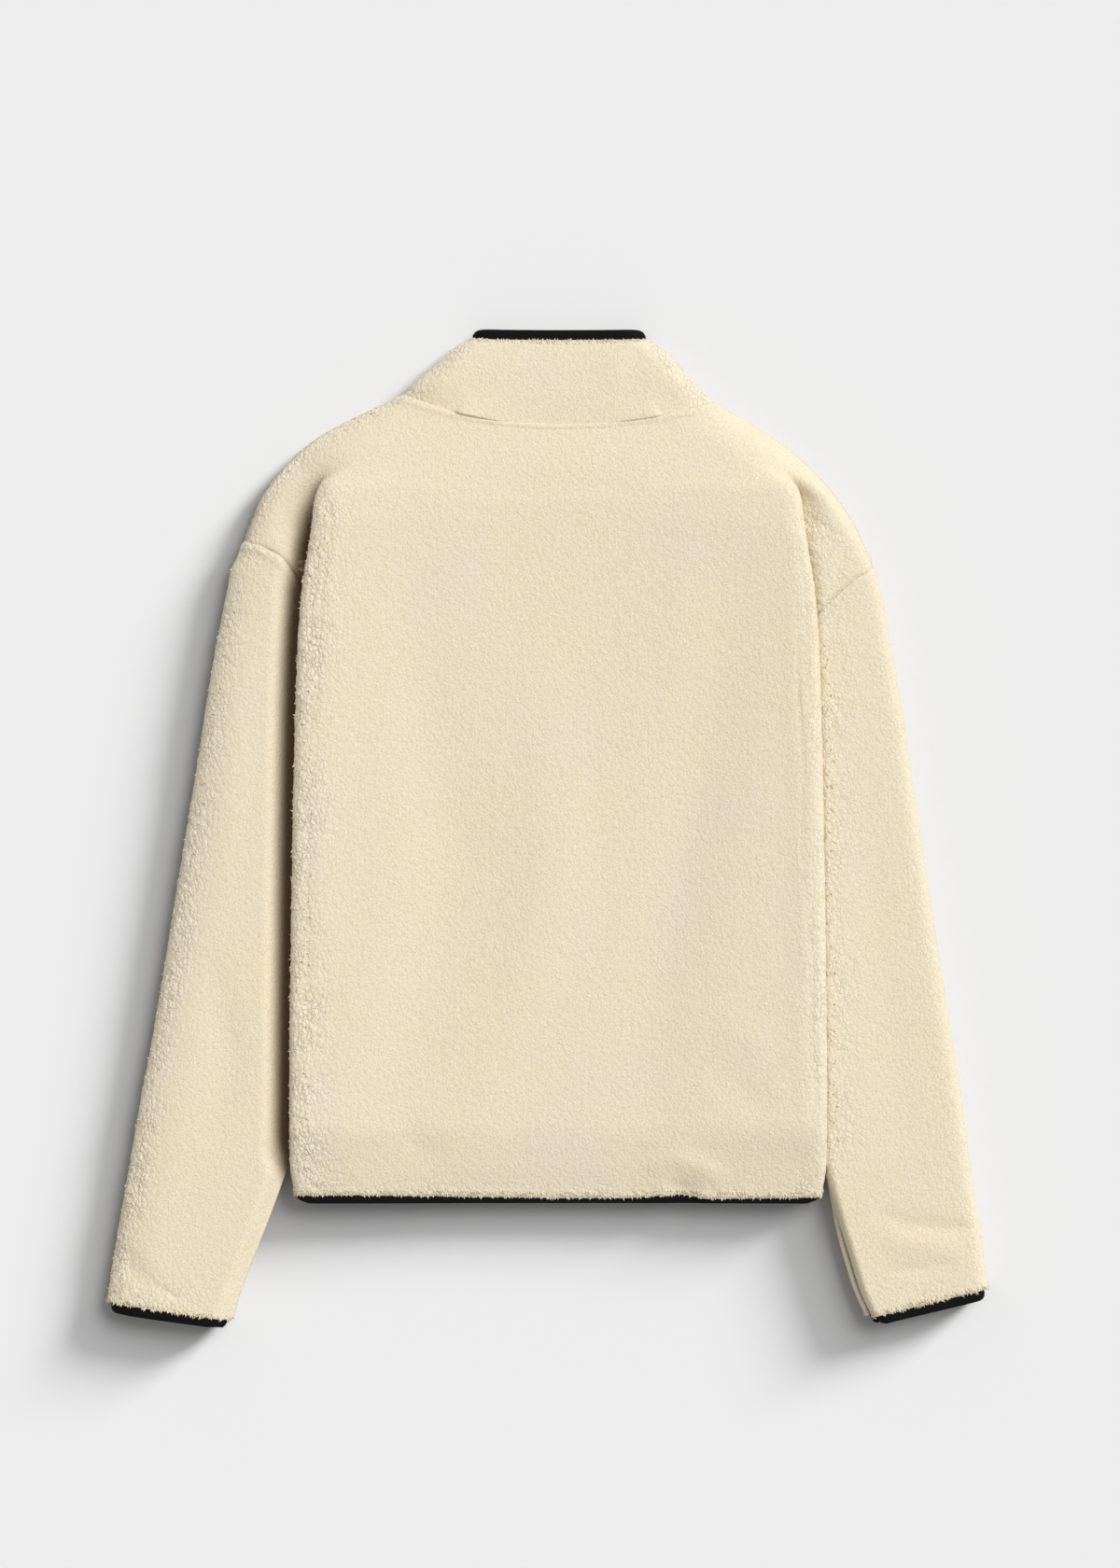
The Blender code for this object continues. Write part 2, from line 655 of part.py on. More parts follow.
def zip_slider(look):
    """Two plates over and under the chain, the post that parts them and the bail for the pull."""
    near, far = SLIDER_Y - SLIDER_LENGTH / 2, SLIDER_Y + SLIDER_LENGTH / 2
    wide = SLIDER_HALF_WIDTH
    slider = box("zip_slider", (-wide, near, PLATE_LOW), (wide, far, PLATE_HIGH), look)
    upper = box("plate", (-wide, near, UPPER_PLATE_LOW), (wide, far, UPPER_PLATE_HIGH), look)
    combine(slider, "UNION", upper)
    post = box("post", (-POST_HALF_WIDTH, far - POST_LENGTH, PLATE_LOW + 0.1),
               (POST_HALF_WIDTH, far - 0.1, UPPER_PLATE_HIGH - 0.1), look)
    combine(slider, "UNION", post)
    bail = rod_along_x("bail", BAIL_HALF_WIDTH, BAIL_OUTER, (PIVOT_Y, PIVOT_Z), look)
    bore = rod_along_x("bore", 2 * BAIL_HALF_WIDTH, BAIL_INNER, (PIVOT_Y, PIVOT_Z), look)
    combine(bail, "DIFFERENCE", bore)
    combine(slider, "UNION", bail)
    return slider


def zip_pull(look):
    """A flat tab whose cross bar sits in the bail. Its origin is on the bar's axis."""
    half, thick = PULL_HALF_WIDTH, PIN_RADIUS
    pull = rod_along_x("zip_pull", half, PIN_RADIUS, (0, 0), look)
    for sign in (-1, 1):
        inner, outer = sorted((sign * ARM_INNER_X, sign * (half - 0.05)))
        arm = box("arm", (inner, -ARM_LENGTH - 1.0, -thick + 0.03), (outer, -0.05, thick - 0.03), look)
        combine(pull, "UNION", arm)
    plate = box("tab", (-half, -PULL_LENGTH, -thick), (half, -ARM_LENGTH, thick), look)
    combine(pull, "UNION", plate)
    return pull


def build():
    clear_scene()
    fleece = material("cream sherpa fleece", FLEECE)
    binding = material("black elastic binding", BINDING)
    tape = material("black zip tape", TAPE)
    chain = material("black moulded zip chain", CHAIN)
    metal = material("black painted zinc", METAL)
    folded = [*range(SHOULDER_ROW + 2), -1]
    made = [shell("back_panel", back_rows(), WALL, fleece, ALONG, folded)]
    for side in ("left", "right"):
        made.append(shell("front_" + side, front_rows(side), WALL, fleece, ALONG, folded))
        sleeve = sleeve_rows(side)
        way = sleeve_axis(sleeve)
        made.append(shell("sleeve_" + side, sleeve, WALL, fleece, way, (-1,)))
        cuff = beyond(sleeve[-1], way, 1.5 * SEAM_GAP, CUFF_BINDING_HEIGHT, CUFF_BINDING_INSET)
        made.append(shell("cuff_binding_" + side, cuff, BINDING_WALL, binding, way, (0, 1)))
        sign = -1 if side == "left" else 1
        near, far = sorted((sign * TAPE_INNER_X, sign * TAPE_OUTER_X))
        corners = (near, TAPE_START_Y, TAPE_BASE), (far, ZIP_TOP, TAPE_BASE + TAPE_WALL)
        made.append(box("zip_tape_" + side, *corners, tape))
    collar = collar_rows()
    made.append(shell("collar", collar, WALL, fleece, ALONG, (0, -1)))
    top = beyond(collar[-1], ALONG, SEAM_GAP, COLLAR_BINDING_HEIGHT, COLLAR_BINDING_INSET)
    made.append(shell("collar_binding", top, BINDING_WALL, binding, ALONG, (0, 1)))
    hem = hem_binding_rows()
    made.append(shell("hem_binding", hem, BINDING_WALL, binding, ALONG, (0, 1)))
    chain_top = SLIDER_Y + SLIDER_LENGTH / 2 - POST_LENGTH - SEAM_GAP
    chain_corners = (-CHAIN_HALF_WIDTH, ZIP_BOTTOM, CHAIN_LOW), (CHAIN_HALF_WIDTH, chain_top, CHAIN_HIGH)
    made.append(box("zip_chain", *chain_corners, chain))
    box_top = ZIP_BOTTOM - SEAM_GAP
    box_corners = (-BOX_HALF_WIDTH, BOX_START_Y, BOX_LOW), (BOX_HALF_WIDTH, box_top, BOX_HIGH)
    made.append(box("zip_box", *box_corners, chain))
    made.append(zip_slider(metal))
    pull = zip_pull(metal)
    pull.location = (0.0, PIVOT_Y * MM, PIVOT_Z * MM)
    made.append(pull)
    centre_on_floor(made)


def centre_on_floor(pieces):
    """Puts the middle of all pieces' box at the origin in X and Y, and its foot at 0."""
    bpy.context.view_layer.update()
    corners = [piece.matrix_world @ vertex.co for piece in pieces for vertex in piece.data.vertices]
    corners = np.array(corners)
    low, high = corners.min(axis=0), corners.max(axis=0)
    for piece in pieces:
        piece.location.x -= (low[0] + high[0]) / 2
        piece.location.y -= (low[1] + high[1]) / 2
        piece.location.z -= low[2]


build()
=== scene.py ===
"""The looks of a cream sherpa fleece jacket that lies flat on its front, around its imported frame.

Shapes are worked out in millimetres in the jacket's own frame: x = 0 at centre back, y = 0 at the
hem, z = 0 on the floor. Every piece of cloth starts as smooth sections of its middle surface. They
are read off on a fine grid, creased, given their pile and closed with a plainer inner face.
"""

import json
import math

import bpy
import numpy as np
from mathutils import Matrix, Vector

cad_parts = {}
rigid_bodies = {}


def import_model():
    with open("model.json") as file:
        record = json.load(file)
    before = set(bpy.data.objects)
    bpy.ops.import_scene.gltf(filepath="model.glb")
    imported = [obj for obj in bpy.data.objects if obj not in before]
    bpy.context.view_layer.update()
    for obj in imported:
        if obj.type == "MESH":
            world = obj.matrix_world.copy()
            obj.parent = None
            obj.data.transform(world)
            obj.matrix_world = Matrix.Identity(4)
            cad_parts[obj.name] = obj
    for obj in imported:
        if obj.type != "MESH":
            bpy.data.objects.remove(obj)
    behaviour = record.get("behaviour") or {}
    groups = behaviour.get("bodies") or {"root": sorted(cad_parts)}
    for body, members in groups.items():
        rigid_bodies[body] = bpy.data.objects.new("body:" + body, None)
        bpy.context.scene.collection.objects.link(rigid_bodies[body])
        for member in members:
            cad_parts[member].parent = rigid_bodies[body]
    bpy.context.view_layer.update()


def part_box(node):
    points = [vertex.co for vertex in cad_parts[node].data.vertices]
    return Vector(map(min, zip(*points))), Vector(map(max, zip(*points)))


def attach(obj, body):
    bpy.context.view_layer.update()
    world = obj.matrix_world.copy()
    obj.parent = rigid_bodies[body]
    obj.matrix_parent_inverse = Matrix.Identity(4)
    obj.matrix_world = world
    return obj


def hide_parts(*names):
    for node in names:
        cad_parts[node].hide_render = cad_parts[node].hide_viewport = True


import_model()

# The zip runs down the middle of the front, and the hem is at y = 0: this moves them onto the frame's.
MM = 0.001
CHAIN_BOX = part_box("zip_chain")
SHIFT = np.array([(CHAIN_BOX[0][0] + CHAIN_BOX[1][0]) / 2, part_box("hem_binding")[0][1], 0.0])
JACKET = "jacket"


def sides(left, right):
    return {"left": left, "right": right}


# Driving sizes of the form, in millimetres, with the shares and powers that shape it.
WALL, SEAM_GAP, SEAM_OVERLAP = 4.0, 0.3, 1.2
# A side fold: half the gap between its two layers, the radii of its roll and of the hidden turn, how
# far the back's layer stands off the roll, and how square the roll is.
PAIR_HALF_GAP, ROLL_RADIUS, TURN_RADIUS, BACK_LOFT, ROLL_SQUARE = 2.5, 7.0, 5.0, 1.5, 0.45
# The wall's middle on the floor and at the silhouette, and how far in it rounds above and below.
FLOOR_MID, EDGE_MID, ROUND_UPPER, ROUND_LOWER, OUTLINE_INSET = WALL / 2, 10.0, 17.0, 9.0, WALL / 2
# A sleeve: how full it is, where that starts beside the fold and over what it rises, how far in its
# edge rounds and how squarely, and how its layers part at its inner edge.
SLEEVE_PUFF, PUFF_START, PUFF_REACH = sides(16.0, 15.0), sides(1.0, -3.6), sides(20.0, 5.0)
SLEEVE_ROUND, SQUARE = sides(38.0, 17.0), sides(2.3, 4.0)
UNDERARM_SLOPE, LEAST_SLOPE = sides(1.7, 0.45), 3.0
SLEEVE_ROW_SPACING = 7.0
# A sleeve is fuller beside the fold, more so between two places near the fold's top.
BESIDE_FOLD, FULLER_SHARE, FULLER_FROM, FULLER_WIDTH = sides(0.0, 1.4), 0.8, (430.0, 490.0), 44.0
# The lower layer peeks out past the upper one at the inner edge: how far, and from which height down.
# Then for each layer its shares of that, outward and up, and how far in the one and the other fade.
PEEK, PEEK_FROM = sides(0.0, 3.6), (20.0, -40.0)
PEEKS = {1: (0.3, 0.0, 6.0, 4.0), -1: (-1.0, 0.9, 7.0, 4.0)}
# The shade painted into the gap beside a fold, on the left only, away from the light, and how much the pile
# parts at the fold, at the outer edge and on the sleeve beside the fold, and how far beyond the fold's edge
# that fades out.
PAINTED_SHADE_BY_SIDE, STRIP_SHARE, OUTER_SHARE = sides(1.0, 0.0), sides(1.1, 0.65), sides(1.0, 0.3)
BESIDE_SHARE, BEYOND_FOLD = sides(0.0, 0.55), sides(5.0, 60.0)
# The body: how its fold moves in below the hem, how the back sags and eases towards the shoulders, how
# a section bends to its end, and how a front steps down from the fold to its flat edge at the zip.
MOVED_IN, MOVED_BELOW = 0.012, 50.0
SAG_SPREAD, TOP_EASE, SHOULDER_REACH, SECTION_BEND = 1.15, sides(0.55, 0.8), 45.0, 1.5
FRONT_EDGE_X, LEAST_FRONT, FRONT_DESCENT, DESCENT_START = 7.0, 4.0, 34.0, 9.0

# Sections of the body, hem to neck: places at centre back and at the zip, heights of the side
# fold's two ends and of centre back, angles of the fold and of the hidden turn, and their places.
BODY_COLUMNS = "back_y front_y low top centre turn hook fold_x under_x".split()
BODY_ROWS = (
    (6, 6, 4.5, 18.5, 19, 180, 0, 199, 142),
    (30, 30, 9.5, 23.5, 24, 180, 0, 202, 141),
    (60, 60, 15, 29, 27, 180, 0, 202, 139),
    (300, 300, 15, 29, 28, 180, 0, 198.8, 122),
    (305, 305, 12.5, 29, 28, 180, 45, 198.7, 122),
    (310, 310, 10, 29, 28, 180, 90, 198.6, 122),
    (316, 316, 7.5, 29, 28, 180, 135, 198.4, 122.4),
    (324, 324, 5, 29, 28, 180, 180, 198.3, 123),
    (356, 356, 5, 29, 28, 180, 180, 197.6, 127),
    (392, 392, 5, 29, 28, 180, 180, 196.6, 134),
    (430, 429, 5, 29, 28, 180, 180, 194.8, 145),
    (460, 455, 5, 29, 28, 180, 180, 192.3, 155),
    (488, 476, 5, 29, 28, 180, 180, 188.0, 164),
    (508, 490, 5, 29, 28, 165, 165, 185.2, 172),
    (523, 500, 5, 28, 28, 140, 140, 184.0, 172),
    (530, 505, 5.2, 27.5, 27.5, 118, 118, 183.5, 171),
    (537, 509.5, 5.5, 27, 27, 95, 95, 181.5, 169),
    (549, 517, 8.0, 25.5, 26, 50, 50, 172.0, 158),
    (562, 524, 12.0, 23.0, 25, 20, 20, 140.0, 125),
    (582.5, 535, 14.0, 19.0, 20.4, 8, 8, 88.0, 75),
)
UNDERARM_Y, SHOULDER_TIP_Y = 324, 523
# Where each section ends at the left and right: side seam, armhole, then shoulder line. Up to the
# underarm both ends are at the seam beneath, which the body's own rows give.
SEAM_COLUMNS = "left_x left_y right_x right_y".split()
SEAM_ROWS = (
    *((row[-1], row[0], row[-1], row[0]) for row in BODY_ROWS[:7]),
    (124.5, 324, 124.5, 324),
    (133.5, 353, 133.5, 350),
    (148.5, 385, 148.5, 378),
    (168, 420, 168, 406),
    (187, 454, 186, 429),
    (208, 483, 205, 451),
    (224, 491.5, 223, 466),
    (237, 495, 238, 475),
    (232.3, 509, 231, 492.5),
    (227, 523, 223.5, 508.5),
    (210.5, 548, 205.5, 535),
    (184, 572.6, 175.5, 564.5),
    (116.2, 606.9, 116.9, 601.5),
)
SLEEVE_COLUMNS = "outer_x outer_y inner_x inner_y".split()
SLEEVE_LEFT = (
    (237, 495, 126, 323.4),
    (246.5, 474, 127, 302),
    (253, 440, 132, 277),
    (260, 404, 138, 249),
    (266, 366, 145, 220),
    (273, 320, 153, 190),
    (289, 222, 171.5, 125),
    (305, 124, 192, 57),
    (313, 84, 202.5, 28),
    (326, 6, 219, -17),
    (332, -25, 229, -42),
    (336, -52, 238, -66),
    (339.5, -75, 245, -89),
)
SLEEVE_RIGHT = (
    (238, 475, 126, 323.4),
    (244.5, 452, 127, 302),
    (249, 424, 132, 277),
    (254, 396, 138, 249),
    (260, 362, 145, 220),
    (266, 318, 153, 190),
    (280.5, 224, 171.5, 125),
    (295.5, 126, 190.5, 57),
    (303, 80, 200, 28),
    (313, 6, 212, -17),
    (317.5, -20, 219.5, -42),
    (320.5, -45, 227, -66),
    (323.4, -64.4, 236, -86),
)
ARMHOLE_SHARE = (1.0, 0.8, 0.6, 0.42, 0.28, 0.17, 0.04, 0, 0, 0, 0, 0, 0)
COLLAR_COLUMNS = "back_y front_y left_x left_y right_x right_y centre".split()
COLLAR_ROWS = (
    (602, 553, 106.5, 616, 104.5, 613, 20.2),
    (621, 571, 91, 629.5, 90.5, 628.5, 19.0),
    (637, 589, 77, 641.5, 78, 640.5, 17.5),
    (646.5, 602.5, 66, 647, 67.5, 646.8, 16.0),
)
# How flat a front's fold and how full the back's wing is in the rows above the shoulder's tip.
FRONT_FOLD_SHARE = (1.0, 0.7, 0.5, 0.25, 0.0, 0.0)
SHOULDER_PUFF = (16.0, 14.5, 13.0, 9.0, 3.0, 0.0)

# A fold's stretches, counted from its outer end: wing, hidden turn, flap and roll.
WING_END, TURN_END, FLAP_END, ROLL_END = 4.0, 7.0, 9.0, 13.0
FOLD_PLACES = np.linspace(0.0, ROLL_END, 105)
# Places on the wing and beside the side seam, where the seam closes the gap, and the least wing. Then
# the fold's angles over which its roll turns square, and places across the top and round a sleeve.
WING_SHARES = (1.0, 0.96, 0.88, 0.45, 0.0)
SIDE_SEAM_OFFSETS = (0.0, 0.4, 0.8, 1.2, 1.5, 4.0, 6.6, 9.4, 38.0)
SEAM_CLOSES = (1.2, 4.0)
LEAST_WING = 1.5
SQUARE_TURNS = (90, 150)
TOP_PLACES = np.linspace(1.0, 0.0, 90)[1:]
ROUND_PLACES = 0.5 - 0.5 * np.cos(np.linspace(0, math.pi, 90))


def table(rows, columns):
    """A table's columns by name."""
    return {name: np.array([row[place] for row in rows], float) for place, name in enumerate(columns)}


BODY, SEAMS = table(BODY_ROWS, BODY_COLUMNS), table(SEAM_ROWS, SEAM_COLUMNS)
SLEEVES = sides(table(SLEEVE_LEFT, SLEEVE_COLUMNS), table(SLEEVE_RIGHT, SLEEVE_COLUMNS))
UNDERARM_ROW, SHOULDER_ROW = (list(BODY["back_y"]).index(y) for y in (UNDERARM_Y, SHOULDER_TIP_Y))
SIGN = sides(-1, 1)


def soft_step(share):
    share = np.clip(share, 0.0, 1.0)
    return share * share * (3.0 - 2.0 * share)


def softly(value, start, end):
    """From 0 at start to 1 at end, with soft ends."""
    return soft_step((value - start) / (end - start))


def evenly(value, start, end):
    """From 0 at start to 1 at end, in a straight line."""
    return np.clip((value - start) / (end - start), 0, 1)


def bulge(share, power=2.0):
    """A quarter circle's height, from 0 at its rim to 1 a full share in. More power makes it squarer."""
    return (1.0 - (1.0 - np.clip(share, 0.0, 1.0)) ** power) ** (1.0 / power)


def hump(distance, width):
    """A smooth bump of height 1, about two widths across."""
    return np.exp(-((distance / width) ** 2))


def run_of(steps):
    """Running length, from 0."""
    return np.concatenate([[0.0], np.cumsum(steps)])


def length_along(path):
    return run_of(np.linalg.norm(np.diff(path, axis=0), axis=1))


def mean_length(rows, axis):
    """Running mean length along one axis of a grid of points."""
    return run_of(np.linalg.norm(np.diff(rows, axis=axis), axis=2).mean(axis=1 - axis))


def read_off(values, s, at):
    """Points given at the lengths s along a path, read off at other lengths."""
    return np.stack([np.interp(at, s, column) for column in values.T], axis=1)


def unit(vectors):
    return vectors / np.maximum(np.linalg.norm(vectors, axis=-1, keepdims=True), 1e-12)


def by_side(x, values):
    """The left's value where x is under 0, and the right's elsewhere."""
    return np.where(x < 0, values["left"], values["right"])


class Outline:
    """The middle of the wall along one side's silhouette, from the cuff up to the neck."""

    def __init__(self, side):
        sleeve = SLEEVES[side]
        xs, ys = (np.concatenate([sleeve["outer_" + axis][::-1], SEAMS[f"{side}_{axis}"][SHOULDER_ROW + 1:]])
                  for axis in "xy")
        self.tip = len(sleeve["outer_x"]) - 1
        dx, dy = np.gradient(xs), np.gradient(ys)
        length = np.hypot(dx, dy)
        self.xs, self.ys = xs - OUTLINE_INSET * dy / length, ys + OUTLINE_INSET * dx / length
        slopes = np.arctan2(np.diff(self.ys), -np.diff(self.xs))
        self.lean = np.sin(np.clip(slopes, 0.0, math.pi / 2))

    def inside(self, x, y):
        """How far in from the silhouette a point lies."""
        middles = (self.ys[:-1] + self.ys[1:]) / 2
        return np.maximum(0.0, (np.interp(y, self.ys, self.xs) - x) * np.interp(y, middles, self.lean))


OUTLINES = {side: Outline(side) for side in SIGN}


def inside_outline(x, y):
    """How far in from the silhouette points of both sides lie."""
    return by_side(x, {side: outline.inside(np.abs(x), y) for side, outline in OUTLINES.items()})


def fold_edge(y):
    """The rolled edge's place. Below the hem it moves in, so that the sleeve fills out."""
    moved = MOVED_IN * np.maximum(0.0, MOVED_BELOW - y) ** 2
    return np.interp(y, BODY["back_y"], BODY["fold_x"]) - moved


def upper_height(side, x, y):
    """A sleeve's top. It is fuller beside the fold, most of all near the fold's top."""
    away = x - fold_edge(y) - PUFF_START[side]
    fuller = 1 + FULLER_SHARE * softly(y, *FULLER_FROM)
    puff = SLEEVE_PUFF[side] + BESIDE_FOLD[side] * fuller * hump(away, FULLER_WIDTH)
    full = FLOOR_MID + 2 * PAIR_HALF_GAP + puff * soft_step(away / PUFF_REACH[side])
    share = bulge(OUTLINES[side].inside(x, y) / SLEEVE_ROUND[side], SQUARE[side])
    return EDGE_MID + (full - EDGE_MID) * share


def lower_height(side, x, y):
    return EDGE_MID + (FLOOR_MID - EDGE_MID) * bulge(OUTLINES[side].inside(x, y) / ROUND_LOWER)


def body_row(index, side):
    row = {name: values[index] for name, values in BODY.items()}
    outline = OUTLINES[side]
    end = [SEAMS[f"{side}_{axis}"][index] for axis in "xy"]
    if index >= SHOULDER_ROW:
        place = outline.tip + index - SHOULDER_ROW
        end = outline.xs[place], outline.ys[place]
    return row | {"end_x": end[0], "end_y": end[1], "side": side, "index": index}


def arc(centre, radius, angle):
    return centre + np.stack([np.sin(angle), np.cos(angle)], axis=-1) * np.reshape(radius, (-1, 1))


def fold_path(row, loft):
    """One side's fold as (x, z) points, outer end first. loft: how far off its own line it lies."""
    turn, hook = math.radians(row["turn"]), math.radians(row["hook"])
    start_x = row["fold_x"] - ROLL_RADIUS - PAIR_HALF_GAP - BACK_LOFT - WALL / 2
    roll = np.array([start_x, row["top"] - ROLL_RADIUS])
    roll_end = arc(roll, ROLL_RADIUS, turn)[0]
    heading = np.array([math.cos(turn), -math.sin(turn)])
    flap = start_x - row["under_x"]
    if row["turn"] < 180:
        drop = row["top"] - row["low"] - (ROLL_RADIUS + TURN_RADIUS) * (1 - math.cos(turn))
        flap = drop / math.sin(turn)
    lift = loft * np.array([math.sin(turn), math.cos(turn)])
    q = FOLD_PLACES
    if hook == 0:
        offset = np.interp(q, range(len(SIDE_SEAM_OFFSETS) + 1), (*SIDE_SEAM_OFFSETS, flap))
        closing = np.interp(offset, SEAM_CLOSES, ((WALL + SEAM_GAP) / 2 / PAIR_HALF_GAP, 1.0))
        points = roll_end + (flap - offset)[:, None] * heading + closing[:, None] * lift
    else:
        centre = arc(roll_end + flap * heading, TURN_RADIUS, turn)[0]
        last = turn - hook
        turn_end = arc(centre, loft - TURN_RADIUS, last)[0]
        reach = LEAST_WING if hook < turn else max(LEAST_WING, row["end_x"] - turn_end[0])
        wing = np.interp(q, range(len(WING_SHARES)), WING_SHARES) * reach
        points = turn_end + wing[:, None] * np.array([math.cos(last), -math.sin(last)])
        turned = np.interp(q, (WING_END, TURN_END), (1, 0))
        on_turn = arc(centre, loft - TURN_RADIUS, turn - hook * turned)
        on_flap = roll_end + np.interp(q, (TURN_END, FLAP_END), (flap, 0))[:, None] * heading + lift
        points = np.where((q > WING_END)[:, None], on_turn, points)
        points = np.where((q > TURN_END)[:, None], on_flap, points)
    rolled = np.interp(q, (FLAP_END, ROLL_END), (1, 0))
    layer = loft + (BACK_LOFT * (1 - rolled) if loft > 0 else 0.0 * rolled)
    angle = turn * rolled
    on_roll = arc(roll, ROLL_RADIUS + layer, angle)
    box = np.stack([np.abs(np.sin(angle)) ** ROLL_SQUARE,
                    np.sign(np.cos(angle)) * np.abs(np.cos(angle)) ** ROLL_SQUARE], axis=-1)
    squared = roll + box * (ROLL_RADIUS + layer)[:, None]
    square = np.minimum(1, 3 * np.sin(math.pi * rolled)) * softly(row["turn"], *SQUARE_TURNS)
    on_roll = on_roll + (squared - on_roll) * square[:, None]
    return np.where((q > FLAP_END)[:, None], on_roll, points)


def section_y(row, x, back, start_x):
    """A shoulder section's y. It bends to its end on the shoulder, and a front dips to the zip."""
    share = (row["index"] - SHOULDER_ROW) / (len(BODY_ROWS) - 1 - SHOULDER_ROW)
    outside = np.clip((x - row["under_x"]) / (row["end_x"] - row["under_x"]), 0.0, 1.0)
    bend = share * (x / row["end_x"]) ** 2 + (1 - share) * outside ** SECTION_BEND
    y = row["back_y"] + (row["end_y"] - row["back_y"]) * bend
    if back:
        return y
    reach = start_x + (row["end_x"] - start_x) * share
    return y + (row["front_y"] - row["back_y"]) * np.maximum(0.0, 1 - (x / reach) ** 2)


def middle_path(row, back, start_x, start_z):
    """From the rolled edge in: the back's soft sag, or a front's step down to the floor."""
    if back:
        sag = (row["centre"] - start_z) * soft_step((1 - TOP_PLACES) * SAG_SPREAD)
        return start_x * TOP_PLACES, start_z + sag
    top_end = min(row["under_x"] - DESCENT_START, start_x - LEAST_FRONT)
    x = FRONT_EDGE_X + (start_x - FRONT_EDGE_X) * TOP_PLACES
    return x, start_z + (FLOOR_MID - start_z) * soft_step((top_end - x) / FRONT_DESCENT)


def side_points(index, side, back):
    """The back's or a front's points at one side of a section, outer end first."""
    row = body_row(index, side)
    path = fold_path(row, PAIR_HALF_GAP if back else -PAIR_HALF_GAP)
    x, z = path.T
    start_x = x[-1]
    if row["turn"] < 90:
        place = index - SHOULDER_ROW
        if back:
            wing_end = x[np.searchsorted(FOLD_PLACES, WING_END)]
            z = z + SHOULDER_PUFF[place] * soft_step((x - wing_end) / SHOULDER_REACH)
            start_z = path[-1][1]
        else:
            z = FLOOR_MID + (z - FLOOR_MID) * FRONT_FOLD_SHARE[place]
            start_z = z[-1]
        y = section_y(row, x, back, start_x)
        share = bulge(OUTLINES[side].inside(x, y) / (ROUND_UPPER if back else ROUND_LOWER))
        z = EDGE_MID + (z - EDGE_MID) * share
        top_x, top_z = middle_path(row, back, start_x, start_z)
        top_y = section_y(row, top_x, back, start_x)
    else:
        reach = np.clip((x - row["under_x"]) / max(1.0, row["end_x"] - row["under_x"]), 0, 1)
        rise = (row["end_y"] - row["back_y"]) * reach ** SECTION_BEND
        y = row["back_y"] + np.where(FOLD_PLACES <= TURN_END, rise, 0)
        if row["hook"] == row["turn"]:
            height = upper_height if back else lower_height
            z = np.where(FOLD_PLACES < WING_END, height(side, x, y), z)
        top_x, top_z = middle_path(row, back, start_x, z[-1])
        dip = 0.0 if back else (row["front_y"] - row["back_y"]) * (1 - (top_x / start_x) ** 2)
        top_y = row["back_y"] + dip + 0.0 * top_x
    points = np.stack([np.append(x, top_x), np.append(y, top_y), np.append(z, top_z)], axis=1)
    points[:, 0] *= SIGN[side]
    return points


def back_rows():
    rows = []
    for index in range(len(BODY_ROWS)):
        left, right = side_points(index, "left", True), side_points(index, "right", True)
        rows.append(np.concatenate([left[:-1], right[::-1]]))
    return np.array(rows)


def front_rows(side):
    return np.array([side_points(index, side, False) for index in range(len(BODY_ROWS))])


def sleeve_edges_of(side):
    """A sleeve's outer and inner edge and its share of the armhole's bow, in many rows down its length."""
    sleeve = SLEEVES[side]
    edges = np.stack([np.stack([sleeve[edge + "_x"], sleeve[edge + "_y"], 0 * sleeve[edge + "_x"]], axis=1)
                      for edge in ("outer", "inner")], axis=1)
    fine, at = curve_between(edges, SLEEVE_ROW_SPACING)
    return zip(fine[:, 0, :2], fine[:, 1, :2], np.interp(at, mean_length(edges, 0), ARMHOLE_SHARE))


def sleeve_rows(side):
    """A sleeve's rings, armhole to cuff: from the underarm over the top and back beneath."""
    seam = np.array([(body_row(index, side)["end_x"], body_row(index, side)["end_y"])
                     for index in range(UNDERARM_ROW, SHOULDER_ROW + 1)])
    steps = np.linalg.norm(np.diff(seam, axis=0), axis=1)
    places = ROUND_PLACES
    on_seam = read_off(seam, run_of(steps) / steps.sum(), places)
    bow = on_seam - (seam[0] + (seam[-1] - seam[0]) * places[:, None])
    lip, rows = (WALL + SEAM_GAP) / 2, []
    for index, (outer, inner, share) in enumerate(sleeve_edges_of(side)):
        width = np.linalg.norm(outer - inner)
        outer = seam[-1] if index == 0 else outer - (outer - inner) * OUTLINE_INSET / width
        outer = np.array([np.interp(outer[1], OUTLINES[side].ys, OUTLINES[side].xs), outer[1]])
        x, y = (inner + (outer - inner) * places[:, None] + share * bow).T
        pinch = (upper_height(side, *inner) + FLOOR_MID) / 2
        layers = []
        for sign, height in ((1, upper_height), (-1, lower_height)):
            layer, end = height(side, x, y), pinch + sign * lip
            reach = np.maximum(LEAST_SLOPE, UNDERARM_SLOPE[side] * np.abs(layer - end))
            z = end + (layer - end) * soft_step(places * width / reach)
            out = PEEK[side] * softly(inner[1], *PEEK_FROM)
            aside, lift, fade, lift_fade = PEEKS[sign]
            z = z + lift * out * hump(places * width, lift_fade)
            moved = x + aside * out * hump(places * width, fade)
            layers.append(np.stack([SIGN[side] * moved, y, z], axis=1))
        rows.append(np.concatenate([layers[0], layers[1][-2::-1]]))
    rows[0] = rows[0] - SEAM_OVERLAP * unit(rows[1] - rows[0])
    return np.array(rows)


LEAST_IN = 0.15  # the collar's ends keep this far in from its own edge


